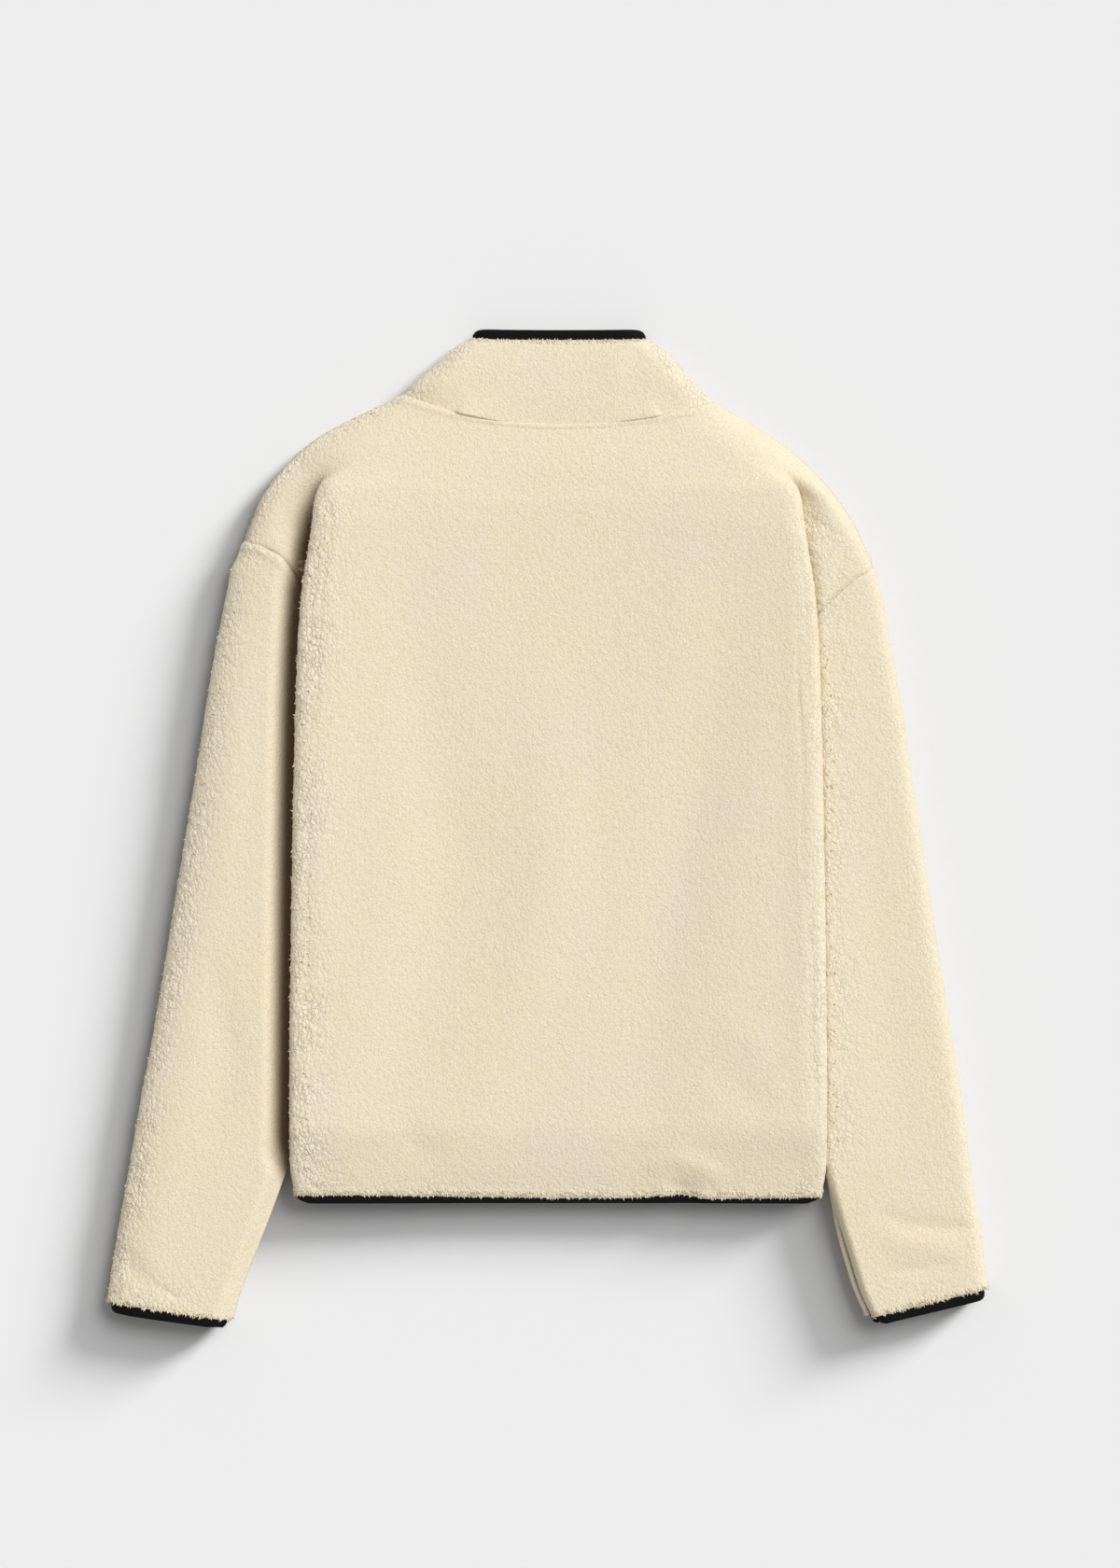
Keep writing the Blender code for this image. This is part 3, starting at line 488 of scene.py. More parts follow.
def collar_rows():
    """The collar's rings, zip to zip round the neck, from the neck seam to the top."""
    back, left, right = back_rows()[-1], front_rows("left")[-1], front_rows("right")[-1]
    ends = sides(abs(back[0][0]), abs(back[-1][0]))
    first = np.concatenate([left[:0:-1], back[1:-1], right[1:]]) + [0.0, SEAM_GAP - SEAM_OVERLAP, 0.0]
    is_back = np.arange(len(first)) - (len(left) - 1)
    is_back = (is_back >= 0) & (is_back < len(back) - 2)
    x = first[:, 0]
    end_now = by_side(x, ends)
    zip_x = np.where(is_back, 0.0, FRONT_EDGE_X)
    share = np.maximum(0.0, (np.abs(x) - zip_x) / (end_now - zip_x))
    rows = [first]
    for values in COLLAR_ROWS:
        target = dict(zip(COLLAR_COLUMNS, values))
        edge = (FLOOR_MID + target["centre"]) / 2
        end_x = by_side(x, sides(target["left_x"], target["right_x"])) - OUTLINE_INSET
        end_y = by_side(x, sides(target["left_y"], target["right_y"]))
        centre_y = np.where(is_back, target["back_y"], target["front_y"])
        far_in = np.maximum((1 - share) * end_x, LEAST_IN)
        z = np.where(is_back, edge + (target["centre"] - edge) * bulge(far_in / ROUND_UPPER),
                     edge + (FLOOR_MID - edge) * bulge(far_in / ROUND_LOWER))
        y = centre_y + (end_y - centre_y) * share ** 2
        rows.append(np.stack([np.sign(x) * (zip_x + (end_x - zip_x) * share), y, z], axis=1))
    return np.array(rows)


INNER_STEP = 4  # the inner face has one point for every four of the outer one


def even_places(s, spacing):
    """Even lengths about spacing apart along the lengths s, and the stretch of s that each is in."""
    count = INNER_STEP * max(2, round(s[-1] / spacing / INNER_STEP))
    fine = np.linspace(0, s[-1], count + 1)
    return fine, np.clip(np.searchsorted(s, fine, side="right") - 1, 0, len(s) - 2)


def curve_between(rows, spacing):
    """More rows, on monotone cubic curves through the given ones, about spacing apart."""
    t = mean_length(rows, 0)
    flat = rows.reshape(len(rows), -1)
    gaps = np.diff(t)[:, None]
    slopes_between = np.diff(flat, axis=0) / gaps
    before, after = slopes_between[:-1], slopes_between[1:]
    heavy, light = 2 * gaps[1:] + gaps[:-1], gaps[1:] + 2 * gaps[:-1]
    same_way = before * after > 0
    safe_before, safe_after = np.where(same_way, before, 1.0), np.where(same_way, after, 1.0)
    mean = (heavy + light) / (heavy / safe_before + light / safe_after)
    slopes = np.concatenate([slopes_between[:1], np.where(same_way, mean, 0.0), slopes_between[-1:]])
    fine, place = even_places(t, spacing)
    gap = gaps[place]
    s = (fine[:, None] - t[place][:, None]) / gap
    low, high = flat[place], flat[place + 1]
    result = ((1 + 2 * s) * (1 - s) ** 2 * low + s * (1 - s) ** 2 * gap * slopes[place]
              + s * s * (3 - 2 * s) * high + s * s * (s - 1) * gap * slopes[place + 1])
    return result.reshape(len(fine), -1, 3), fine


def across(rows, spacing):
    """The rows read off at even places along their mean length, and those places."""
    s = mean_length(rows, 1)
    fine, place = even_places(s, spacing)
    share = ((fine - s[place]) / np.maximum(s[place + 1] - s[place], 1e-9))[None, :, None]
    return rows[:, place] * (1 - share) + rows[:, place + 1] * share, fine


def normals_of(grid):
    return unit(np.cross(np.gradient(grid, axis=1), np.gradient(grid, axis=0)))


def relaxed(grid, weight, rounds):
    """The grid with its points evened out where weight is over 0. Its edges stay."""
    grid, weight = grid.copy(), weight[1:-1, 1:-1, None]
    for _ in range(rounds):
        around = grid[:-2, 1:-1] + grid[2:, 1:-1] + grid[1:-1, :-2] + grid[1:-1, 2:]
        grid[1:-1, 1:-1] += weight * (around / 4 - grid[1:-1, 1:-1])
    return grid


def clumps(u, v, wide, long, seed):
    """Cells of tangled pile: how near each point is to a gap between them, from 0 on the gap."""
    draw = np.random.default_rng(seed)
    size = 256
    jitter = draw.uniform(0.15, 0.85, (size, size, 2))
    cell_u, cell_v = np.floor(u / wide).astype(int), np.floor(v / long).astype(int)
    nearest = np.full((2, *u.shape), 9.0)
    for du in (-1, 0, 1):
        for dv in (-1, 0, 1):
            shift = jitter[(cell_u + du) % size, (cell_v + dv) % size]
            gap = np.hypot(cell_u + du + shift[..., 0] - u / wide, cell_v + dv + shift[..., 1] - v / long)
            nearest[1] = np.minimum(nearest[1], np.maximum(nearest[0], gap))
            nearest[0] = np.minimum(nearest[0], gap)
    return nearest[1] - nearest[0]


def drift(u, v, scale, seed):
    """Slow, smooth noise from -1 to 1."""
    draw = np.random.default_rng(seed)
    size = 128
    values = draw.uniform(-1.0, 1.0, (size, size))
    cell_u, cell_v = np.floor(u / scale).astype(int), np.floor(v / scale).astype(int)
    s, t = soft_step(u / scale - cell_u), soft_step(v / scale - cell_v)

    def at(i, j):
        return values[(cell_u + i) % size, (cell_v + j) % size]

    low = at(0, 0) * (1 - s) + at(1, 0) * s
    high = at(0, 1) * (1 - s) + at(1, 1) * s
    return low * (1 - t) + high * t


def add_mesh(name, points, faces, look):
    mesh = bpy.data.meshes.new(name)
    mesh.from_pydata((np.asarray(points) * MM + SHIFT).tolist(), [], faces)
    mesh.shade_smooth()
    mesh.materials.append(look)
    made = bpy.data.objects.new(name, mesh)
    bpy.context.scene.collection.objects.link(made)
    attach(made, JACKET)
    return made


def quads(first, high, wide, flip=False, closed=False):
    """The faces of a grid of points whose numbers start at first. closed: each row is a ring."""
    corner = first + np.arange(high * wide).reshape(high, wide)
    if closed:
        corner = np.concatenate([corner, corner[:, :1]], axis=1)
    ring = [corner[:-1, :-1], corner[:-1, 1:], corner[1:, 1:], corner[1:, :-1]]
    return np.stack(ring[::-1] if flip else ring, axis=-1).reshape(-1, 4).tolist()


def bar_faces(count, wide, first=0, flip=False):
    """The faces of a bar: count rings of points, wide points each, with both ends closed."""
    last = first + (count - 1) * wide
    ends = [list(range(first, first + wide))[::-1], list(range(last, last + wide))]
    return quads(first, count, wide, flip, closed=True) + [end[::-1] if flip else end for end in ends]


def closed_wall(name, outer, inner, out):
    """A closed wall: a fine outer face, an inner one with fewer points and a rim that joins them."""
    high, wide, _ = outer.shape
    low, narrow, _ = inner.shape
    above = np.arange(high * wide).reshape(high, wide)
    below = high * wide + np.arange(low * narrow).reshape(low, narrow)
    faces = quads(0, high, wide) + quads(high * wide, low, narrow, flip=True)
    rims = ((above[0, ::-1], below[0, ::-1]), (above[-1], below[-1]),
            (above[:, 0], below[:, 0]), (above[::-1, -1], below[::-1, -1]))
    for fine, coarse in rims:
        for place in range(len(coarse) - 1):
            stretch = fine[place * INNER_STEP:(place + 1) * INNER_STEP + 1]
            faces.append([*stretch.tolist(), int(coarse[place + 1]), int(coarse[place])])
    if out < 0:
        faces = [face[::-1] for face in faces]
    points = np.concatenate([outer.reshape(-1, 3), inner.reshape(-1, 3)])
    return add_mesh(name, points, faces, FLEECE)


# A line fades to its ends with this power, and fades out where the cloth turns down.
LINE_TAPER, TOP_ONLY = 0.7, 2.5


def crease_height(grid, normal, lines):
    """How far the cloth is raised on soft ridges, or sunk in troughs, that follow lines across it."""
    x, y, total = grid[..., 0], grid[..., 1], 0.0
    for height, width, *points in lines:
        nearest, along = np.full(x.shape, 1e9), np.zeros(x.shape)
        for place, ((x0, y0), (x1, y1)) in enumerate(zip(points, points[1:])):
            dx, dy = x1 - x0, y1 - y0
            t = np.clip(((x - x0) * dx + (y - y0) * dy) / (dx * dx + dy * dy), 0, 1)
            away = np.hypot(x - x0 - t * dx, y - y0 - t * dy)
            along = np.where(away < nearest, (place + t) / (len(points) - 1), along)
            nearest = np.minimum(nearest, away)
        taper = np.sin(math.pi * np.clip(along, 0.0, 1.0)) ** LINE_TAPER
        total = total + height * taper * hump(nearest, width)
    return total * np.clip(TOP_ONLY * normal[..., 2], 0, 1)


# The shade painted into the pile in the gap beside a fold: how far it reaches under the roll and away from
# it, the power that it fades with, the heights above the floor that it fades between, and where it ends
# towards the neck.
GAP_UNDER, GAP_REACH, GAP_FADE = 9.0, 25.0, 0.6
GAP_LEVELS, GAP_TOP = (24.0, 12.0), (545.0, 505.0)


def shade_to_paint_in_gap(points):
    """How much shade to paint on a point in the gap beside a side fold, from 0 to 1: more the deeper it lies.
    """
    x, y, z = np.moveaxis(points, -1, 0)
    away = np.abs(x) - fold_edge(y)
    near = np.clip(1 - np.maximum(away, 0) / GAP_REACH, 0, 1) ** GAP_FADE
    near = np.where((away > -GAP_UNDER) & (y < GAP_TOP[0]), near, 0)
    return by_side(x, PAINTED_SHADE_BY_SIDE) * near * evenly(z, *GAP_LEVELS) * softly(y, *GAP_TOP)


# Half the wall, the clumps of its pile with how far they wander, how deep they and the curls on them
# are in plain and in parted pile, how patchy the parting is, and how the rim is rounded.
PILE_HALF = 1.9
CLUMP, CLUMP_LONG = 6.0, 8.5
WANDER, WANDER_SCALE = 2.2, 8
CLUMP_ROUND, CLUMP_LEVEL = 0.5, 0.8
PLAIN_DEPTH, CLUMP_DEPTH = 0.08, 0.7
PLAIN_CURLS, PARTED_CURLS, CURL_SCALE = 0.05, 0.35, 3.3
PATCHY, PATCH_SCALE = 0.7, 20
RIM_ROUND, RIM_LEAST = 2.2, 0.9
LOWEST = 0.2
SEAM_RIDGE, RIDGE_PLACE, RIDGE_WIDTH = 0.9, 4.0, 1.8


class Fleece:
    """One cut piece of fleece: fine, creased and with its pile raised off its outer face."""

    def __init__(self, name, rows, spacing, out=1, lines=(), edge_share=None, ridges=(), reshape=None):
        grid, v = curve_between(rows, spacing)
        grid, u = across(grid, spacing)
        if reshape:
            grid = reshape(grid, u)
        u, v = np.meshgrid(u, v)
        normal = normals_of(grid) * out
        raised = crease_height(grid, normal, lines) if lines else 0.0
        for end in ridges:
            raised = raised + SEAM_RIDGE * hump(np.abs(v - end * v.max()) - RIDGE_PLACE, RIDGE_WIDTH)
        self.middle = grid + np.broadcast_to(raised, u.shape)[..., None] * normal
        self.normal = normals_of(self.middle) * out
        rim = np.minimum.reduce([u, u.max() - u, v, v.max() - v])
        rounded = RIM_LEAST + (1 - RIM_LEAST) * bulge(rim / RIM_ROUND)
        seed = sum(map(ord, name))
        self.share = np.clip(edge_share(self.middle), 0, 1) if edge_share else np.zeros(u.shape)
        share = np.clip(self.share * (1 + PATCHY * drift(u, v, PATCH_SCALE, seed + 4)), 0, 1)
        wander = [WANDER * drift(u, v, WANDER_SCALE, seed + place) for place in (0, 1)]
        gap = clumps(u + wander[0], v + wander[1], CLUMP, CLUMP_LONG, seed + 2)
        pile = (PLAIN_DEPTH + CLUMP_DEPTH * share) * (bulge(gap / CLUMP_ROUND) - CLUMP_LEVEL)
        pile = pile + (PLAIN_CURLS + PARTED_CURLS * share) * drift(u, v, CURL_SCALE, seed + 3)
        self.outer = self.middle + self.normal * ((PILE_HALF + pile) * rounded)[..., None]
        self.outer[..., 2] = np.maximum(self.outer[..., 2], LOWEST)
        inner = (self.middle - self.normal * PILE_HALF)[::INNER_STEP, ::INNER_STEP]
        self.made = closed_wall(name, self.outer, inner, out)
        # The share of parted pile, and the shade painted into the gap beside a fold, for the material.
        values = {"parted": (share, share[::INNER_STEP, ::INNER_STEP]),
                  "deep": (shade_to_paint_in_gap(self.outer), shade_to_paint_in_gap(inner))}
        for kind, faces in values.items():
            full = np.concatenate([face.ravel() for face in faces]).astype(np.float32)
            self.made.data.attributes.new(kind, "FLOAT", "POINT").data.foreach_set("value", full)


# Tufts. The first of each pair is the mean or the least, the second the spread or the most.
TUFT_YAW, TUFT_RISE = (0, 0.45), (0.15, 0.25)
TUFT_LONG, TUFT_WIDE = (0.55, 1.25), (0.7, 1.2)
TUFT_ASIDE, TUFT_CURL = (0, 0.25), (-0.25, 0.35)
# On a face: the share of its points that carry a tuft, how far a tuft rises, starts within and spreads.
FLUFF_EACH, FLUFF_RISE, FLUFF_SUNK, FLUFF_WIDE = 0.1, 0.5, 0.3, 1.6
CROSSWISE = (0.3, 0.9, 0.2)
# Over an edge: how wide a tuft is, how many rows in its direction is read, and how far in it starts.
FRINGE_WIDE, FRINGE_ROWS, FRINGE_IN = 1.5, 3, 0.8
# A tuft's two rings of three points: how far along it, how broad and how much bent. Then its faces,
# whose last corner is its tip.
TUFT_RINGS = ((-0.2, 1.0, 0.0), (0.5, 0.85, 0.35))
TUFT_FACES = ((0, 2, 1), (0, 1, 4, 3), (1, 2, 5, 4), (2, 0, 3, 5), (3, 4, 6), (4, 5, 6), (5, 3, 6))
TUFT_POINTS, TUFT_LOWEST = 7, 0.15


def tufts(name, bases, ways, normals, length, width, seed):
    """Curls of pile as one mesh: bent cones that start at the bases and point along the ways."""
    draw = np.random.default_rng(seed)
    count = len(bases)
    across_way = unit(np.cross(ways, normals))
    yaw = draw.normal(*TUFT_YAW, (count, 1))
    way = unit(ways + yaw * across_way + draw.normal(*TUFT_RISE, (count, 1)) * normals)
    side = unit(np.cross(way, normals))
    up = unit(np.cross(side, way))
    long = length * draw.uniform(*TUFT_LONG, (count, 1))
    wide = width * draw.uniform(*TUFT_WIDE, (count, 1)) / 2
    bend = draw.normal(*TUFT_ASIDE, (count, 1)) * side + draw.uniform(*TUFT_CURL, (count, 1)) * up
    points = []
    for reach, broad, curl in TUFT_RINGS:
        centre = bases + long * (reach * way + curl * bend)
        for turn in (90, 210, 330):
            spoke = math.cos(math.radians(turn)) * side + math.sin(math.radians(turn)) * up
            points.append(centre + broad * wide * spoke)
    points.append(bases + long * (way + bend))
    points = np.stack(points, axis=1).reshape(-1, 3)
    points[:, 2] = np.maximum(points[:, 2], TUFT_LOWEST)
    faces = [[TUFT_POINTS * place + corner for corner in face]
             for place in range(count) for face in TUFT_FACES]
    return add_mesh(name, points, faces, FLEECE)


def fringe(name, piece, end, each, length, seed):
    """Tufts that hang over the edge of a piece, past its first row (end 0) or its last one (end -1)."""
    draw = np.random.default_rng(seed)
    rows, other = piece.outer[end], piece.outer[FRINGE_ROWS if end == 0 else end - FRINGE_ROWS]
    s = length_along(rows)
    count = int(s[-1] * each)
    at = np.sort(draw.uniform(0, s[-1], count))
    edge, further_in, normal = (read_off(values, s, at) for values in (rows, other, piece.normal[end]))
    back = draw.uniform(0.0, FRINGE_IN, (count, 1))
    base = edge * (1 - back) + further_in * back
    return tufts(name, base, unit(edge - further_in), unit(normal), length, FRINGE_WIDE, seed)


def fluff(name, piece, least, length, seed):
    """Tufts that stand off a piece where its share of parted pile is over the least."""
    draw = np.random.default_rng(seed)
    seen = (piece.share > least).ravel()
    flat = piece.outer.reshape(-1, 3)[seen]
    normal = piece.normal.reshape(-1, 3)[seen]
    chosen = np.flatnonzero(draw.uniform(size=len(flat)) < FLUFF_EACH)
    angle = draw.uniform(0, 2 * math.pi, (len(chosen), 1))
    first = unit(np.cross(normal[chosen], CROSSWISE))
    second = np.cross(normal[chosen], first)
    way = unit(FLUFF_RISE * normal[chosen] + np.cos(angle) * first + np.sin(angle) * second)
    base = flat[chosen] - FLUFF_SUNK * normal[chosen]
    return tufts(name, base, way, normal[chosen], length, FLUFF_WIDE, seed)


# A binding: the spacing of its loops, and half of one loop as reach past the edge and half thickness.
BAND_SPACING, BAND_LOWEST = 2.0, 0.1
BAND_CORNER = (6.0, 9.0)
BAND_PROFILE = ((-2.6, 1.1), (0.0, 1.45), (2.0, 1.5), (3.9, 1.5), (5.0, 1.2), (5.6, 0.6), (5.7, 0.0))


def band(name, path, way, normals, scale, narrow, corners=False):
    """A binding folded over an edge: one flattened loop swept along it, closed at both ends. It is drawn
    in towards its middle by the shares narrow, one at the edge and one at its far rim."""
    s = length_along(path)
    fine = np.linspace(0, s[-1], int(s[-1] / BAND_SPACING))
    path, way, normals = read_off(path, s, fine), unit(way), unit(read_off(normals, s, fine))
    loop = BAND_PROFILE + tuple((reach, -high) for reach, high in BAND_PROFILE[-2::-1])
    aside = (path - path.mean(axis=0)) * [1, 1, 0]
    aside = aside - way * (aside * way).sum(axis=1, keepdims=True)
    rows = []
    for reach, high in loop:
        share = (max(0.0, reach) / BAND_PROFILE[-1][0]) ** 3
        row = path + way * reach * scale + normals * high
        row = row - aside * (narrow[0] + (narrow[1] - narrow[0]) * share)
        if corners:
            row[:, 0] -= corner_inset(row[:, 0], row[:, 1], *BAND_CORNER)
        row[:, 2] = np.maximum(row[:, 2], BAND_LOWEST)
        rows.append(row)
    rings = np.stack(rows, axis=1)
    return add_mesh(name, rings.reshape(-1, 3), bar_faces(*rings.shape[:2]), BINDING)


# --- materials ---


def linear(code):
    """An sRGB hex colour as a linear one."""
    values = [int(code[place:place + 2], 16) / 255 for place in (1, 3, 5)]
    return [v / 12.92 if v <= 0.04045 else ((v + 0.055) / 1.055) ** 2.4 for v in values] + [1.0]


def new_material(name):
    """A material with an empty tree, and the function that adds a node to it."""
    made = bpy.data.materials.new(name)
    made.use_nodes = True
    tree = made.node_tree
    tree.nodes.clear()

    def add(kind, settings=None, output=0, **links):
        """Adds a node and gives one of its outputs. Settings are its properties. Links are its sockets'
        values, or the outputs that these come from, by a socket's name or, as i6, by its number."""
        new = tree.nodes.new("ShaderNode" + kind)
        for key, value in (settings or {}).items():
            setattr(new, key, value)
        for key, value in links.items():
            socket = new.inputs[int(key[1:]) if key[1:].isdigit() else key.replace("_", " ")]
            if isinstance(value, bpy.types.NodeSocket):
                tree.links.new(value, socket)
            else:
                socket.default_value = value
        return new.outputs[output] if new.outputs else None

    return made, add


TIMES, TIMES_PLUS = {"operation": "MULTIPLY"}, {"operation": "MULTIPLY_ADD"}
SMOOTH = {"interpolation_type": "SMOOTHSTEP"}
COLOURS = {"data_type": "RGBA"}  # a mix of colours takes them at its sockets 6 and 7 and gives output 2

# Real sizes in the pile. Clumps are longer down the garment than across it.
CURL = 1.5 * MM
CLUMPS_PER_M = (1 / (3.1 * MM), 1 / (4.6 * MM), 1 / (3.1 * MM))
CLUMP_SWIRL, CLUMP_SWAY = 6 * MM, 3.5 * MM
CLUMP_PATCH = 12 * MM
PARTING, PARTING_WANDER, PARTING_LENGTH = 4.8 * MM, 11 * MM, 9 * MM
PARTING_BEND = 3.4  # how many partings' width they wander by
FIBRE_FLECK = 1.2 * MM
TONE_CHANGE = 70 * MM


def pile_gaps(add, place, parted, cells):
    """From 0 to 1, the fine gaps between clumps and, where the pile parts, the long partings."""
    edges = add("TexVoronoi", {"feature": "DISTANCE_TO_EDGE"}, Vector=cells, Scale=1.0)
    edges = add("MapRange", SMOOTH, Value=edges, From_Min=0.02, From_Max=0.15, To_Min=1.0, To_Max=0.0)
    patches = add("TexNoise", Vector=place, Scale=1 / CLUMP_PATCH, Detail=1.0)
    patches = add("MapRange", Value=patches, From_Min=0.35, From_Max=0.65, To_Min=0.45, To_Max=1.15)
    clumped = add("Math", TIMES_PLUS, i0=parted, i1=0.85, i2=0.15)
    clumped = add("Math", TIMES, i0=clumped, i1=patches)
    gap = add("Math", TIMES, i0=edges, i1=clumped)
    wander = add("TexNoise", Vector=place, Scale=1 / PARTING_WANDER, Detail=2.0, Roughness=0.6)
    wander = add("Math", TIMES, i0=wander, i1=PARTING_BEND)
    sideways = add("SeparateXYZ", Vector=place)
    line = add("Math", TIMES_PLUS, i0=sideways, i1=1 / PARTING, i2=wander)
    line = add("Math", {"operation": "PINGPONG"}, i0=line, i1=0.5)
    line = add("MapRange", SMOOTH, Value=line, From_Min=0.0, From_Max=0.085, To_Min=1.0, To_Max=0.0)
    open_here = add("TexNoise", Vector=place, Scale=1 / PARTING_LENGTH, Detail=1.0)
    open_here = add("MapRange", Value=open_here, From_Min=0.46, From_Max=0.56, To_Min=0.0, To_Max=1.0)
    strong = add("MapRange", Value=parted, From_Min=0.25, From_Max=0.8, To_Min=0.0, To_Max=1.0)
    strong = add("Math", TIMES, i0=open_here, i1=strong)
    parting = add("Math", TIMES, i0=line, i1=strong)
    faint = add("Math", TIMES, i0=gap, i1=0.6)
    return add("Math", {"operation": "MAXIMUM"}, i0=faint, i1=parting)


def pile_colour_with_painted_light(add, place, parted, curls, gaps):
    """Cream that drifts a little in tone. Where the pile parts it is painted paler, as painted light on its
    raised clumps, and between curls and in the gaps and partings it is painted darker, as painted shade in
    these hollows.
    """
    tone = add("TexNoise", Vector=place, Scale=1 / TONE_CHANGE, Detail=2.0)
    tone = add("MapRange", Value=tone, From_Min=0.3, From_Max=0.7, To_Min=0.0, To_Max=1.0)
    colour = add("Mix", COLOURS, 2, i0=tone, i6=linear("#EEE2C6"), i7=linear("#EBE1CD"))
    # Painted light: where the pile parts the colour is mixed paler, for light on its raised clumps.
    painted_clump_light = add("Math", TIMES, i0=parted, i1=0.45)
    colour = add("Mix", COLOURS, 2, i0=painted_clump_light, i6=colour, i7=linear("#FCF6E8"))
    # Painted shade: darker between curls, where shade falls in the hollows.
    painted_curl_shade = add("MapRange", Value=curls, From_Min=0.2, From_Max=0.75, To_Min=0.0, To_Max=0.4)
    colour = add("Mix", COLOURS, 2, i0=painted_curl_shade, i6=colour, i7=linear("#D2C198"))
    # Painted shade: darker in the gaps between clumps and in the long partings.
    painted_parting_shade = add("Math", TIMES, i0=gaps, i1=0.55)
    return add("Mix", COLOURS, 2, i0=painted_parting_shade, i6=colour, i7=linear("#BBA271"))


def sherpa_fleece():
    """Polyester sherpa, knitted in loops and then napped: matt curls in soft clumps that part in fine gaps.
    Deep in the gap beside a fold its colour is painted dark brown, as painted shade for the light that does
    not reach there."""
    made, add = new_material("napped polyester sherpa")
    place = add("TexCoord", output="Object")
    parted = add("Attribute", {"attribute_name": "parted"}, "Fac")
    deep = add("Attribute", {"attribute_name": "deep"}, "Fac")
    sway = add("TexNoise", {}, "Color", Vector=place, Scale=1 / CLUMP_SWIRL, Detail=2.0)
    sway = add("VectorMath", {"operation": "SUBTRACT"}, i0=sway, i1=(0.5,) * 3)
    cells = add("VectorMath", TIMES_PLUS, i0=sway, i1=(CLUMP_SWAY,) * 3, i2=place)
    cells = add("VectorMath", TIMES, i0=cells, i1=CLUMPS_PER_M)
    curls = add("TexVoronoi", Vector=place, Scale=1 / CURL)
    gaps = pile_gaps(add, place, parted, cells)
    colour = pile_colour_with_painted_light(add, place, parted, curls, gaps)
    # Painted shade: in the gap beside a fold the colour is mixed towards dark brown.
    shade = add("Math", TIMES, i0=deep, i1=0.93)
    colour = add("Mix", COLOURS, 2, i0=shade, i6=colour, i7=linear("#5A4019"))
    mounds = add("TexVoronoi", Vector=cells, Scale=1.0)
    rise = add("Math", TIMES_PLUS, i0=parted, i1=0.7, i2=0.36)
    mounds = add("Math", TIMES, i0=mounds, i1=rise)
    flecks = add("TexNoise", Vector=place, Scale=1 / FIBRE_FLECK, Detail=2.0, Roughness=0.6)
    flecks = add("Math", TIMES, i0=flecks, i1=0.35)
    rough = add("Math", TIMES_PLUS, i0=curls, i1=0.3, i2=flecks)
    depth = add("Math", {"operation": "ADD"}, i0=mounds, i1=rough)
    depth = add("Math", TIMES_PLUS, i0=gaps, i1=0.55, i2=depth)
    relief = add("Bump", {"invert": True}, Strength=0.75, Distance=1.0 * MM, Height=depth)
    shader = add("BsdfPrincipled", Base_Color=colour, Roughness=0.95, IOR=1.5, Normal=relief,
                  Specular_IOR_Level=0.1, Sheen_Weight=0.3, Sheen_Roughness=0.5, Sheen_Tint=linear("#FFF6E4"))
    add("OutputMaterial", Surface=shader)
    return made


def two_toned(add, pattern, dark, light, strength, depth, **finish):
    """A finish whose colour and relief both follow one pattern."""
    colour = add("Mix", COLOURS, 2, i0=pattern, i6=linear(dark), i7=linear(light))
    relief = add("Bump", Strength=strength, Distance=depth, Height=pattern)
    shader = add("BsdfPrincipled", Base_Color=colour, Normal=relief, **finish)
    add("OutputMaterial", Surface=shader)


RIB = 1.2 * MM
# A thread of the tape is 0.4 mm. It is drawn 0.8 mm wide, so that it shows.
THREAD_WAVES = math.pi / (10 * 0.8 * MM)
MOULD_SKIN = 1.5 * MM
ORANGE_PEEL = 0.8 * MM


def knitted_elastic():
    """Black knitted elastic tape: matt, with fine cross ribs."""
    made, add = new_material("knitted elastic tape")
    place = add("TexCoord", output="Object")
    ribs = add("TexNoise", Vector=place, Scale=1 / RIB, Detail=2.0)
    two_toned(add, ribs, "#040405", "#0E0E10", strength=0.4, depth=0.25 * MM,
              Roughness=0.8, IOR=1.5, Specular_IOR_Level=0.15)
    return made


def woven_tape():
    """Black polyester tape, woven: dull, with threads that cross in fine steps."""
    made, add = new_material("woven polyester tape")
    place = add("TexCoord", output="Object")
    warp = add("TexWave", {"bands_direction": "X"}, "Fac", Vector=place, Scale=THREAD_WAVES)
    weft = add("TexWave", {"bands_direction": "Y"}, "Fac", Vector=place, Scale=THREAD_WAVES)
    weave = add("Math", TIMES, i0=warp, i1=weft)
    two_toned(add, weave, "#0A0A0B", "#1B1B1D", strength=0.4, depth=0.2 * MM,
              Roughness=0.85, IOR=1.5, Specular_IOR_Level=0.3)
    return made


def moulded_acetal():
    """Black acetal, injection moulded: smooth and a little waxy."""
    made, add = new_material("moulded acetal")
    place = add("TexCoord", output="Object")
    skin = add("TexNoise", Vector=place, Scale=1 / MOULD_SKIN, Detail=2.0)
    two_toned(add, skin, "#101011", "#1A1A1C", strength=0.15, depth=0.1 * MM,
              Roughness=0.42, IOR=1.48)
    return made


def painted_zinc():
    """Zinc, die cast and painted satin black: an even skin with faint orange peel."""
    made, add = new_material("black painted zinc")
    place = add("TexCoord", output="Object")
    peel = add("TexNoise", Vector=place, Scale=1 / ORANGE_PEEL, Detail=1.0)
    two_toned(add, peel, "#131314", "#1D1D1F", strength=0.1, depth=0.1 * MM,
              Roughness=0.3, IOR=1.5, Coat_Weight=0.3, Coat_Roughness=0.25)
    return made


def matt_paper():
    """Pale uncoated paper: matt and even."""
    made, add = new_material("pale paper")
    shader = add("BsdfPrincipled", Base_Color=linear("#AFAFAF"), Roughness=0.95, Specular_IOR_Level=0.0)
    add("OutputMaterial", Surface=shader)
    return made


FLEECE = sherpa_fleece()
BINDING = knitted_elastic()
TAPE, CHAIN, METAL = woven_tape(), moulded_acetal(), painted_zinc()

# --- cloth ---

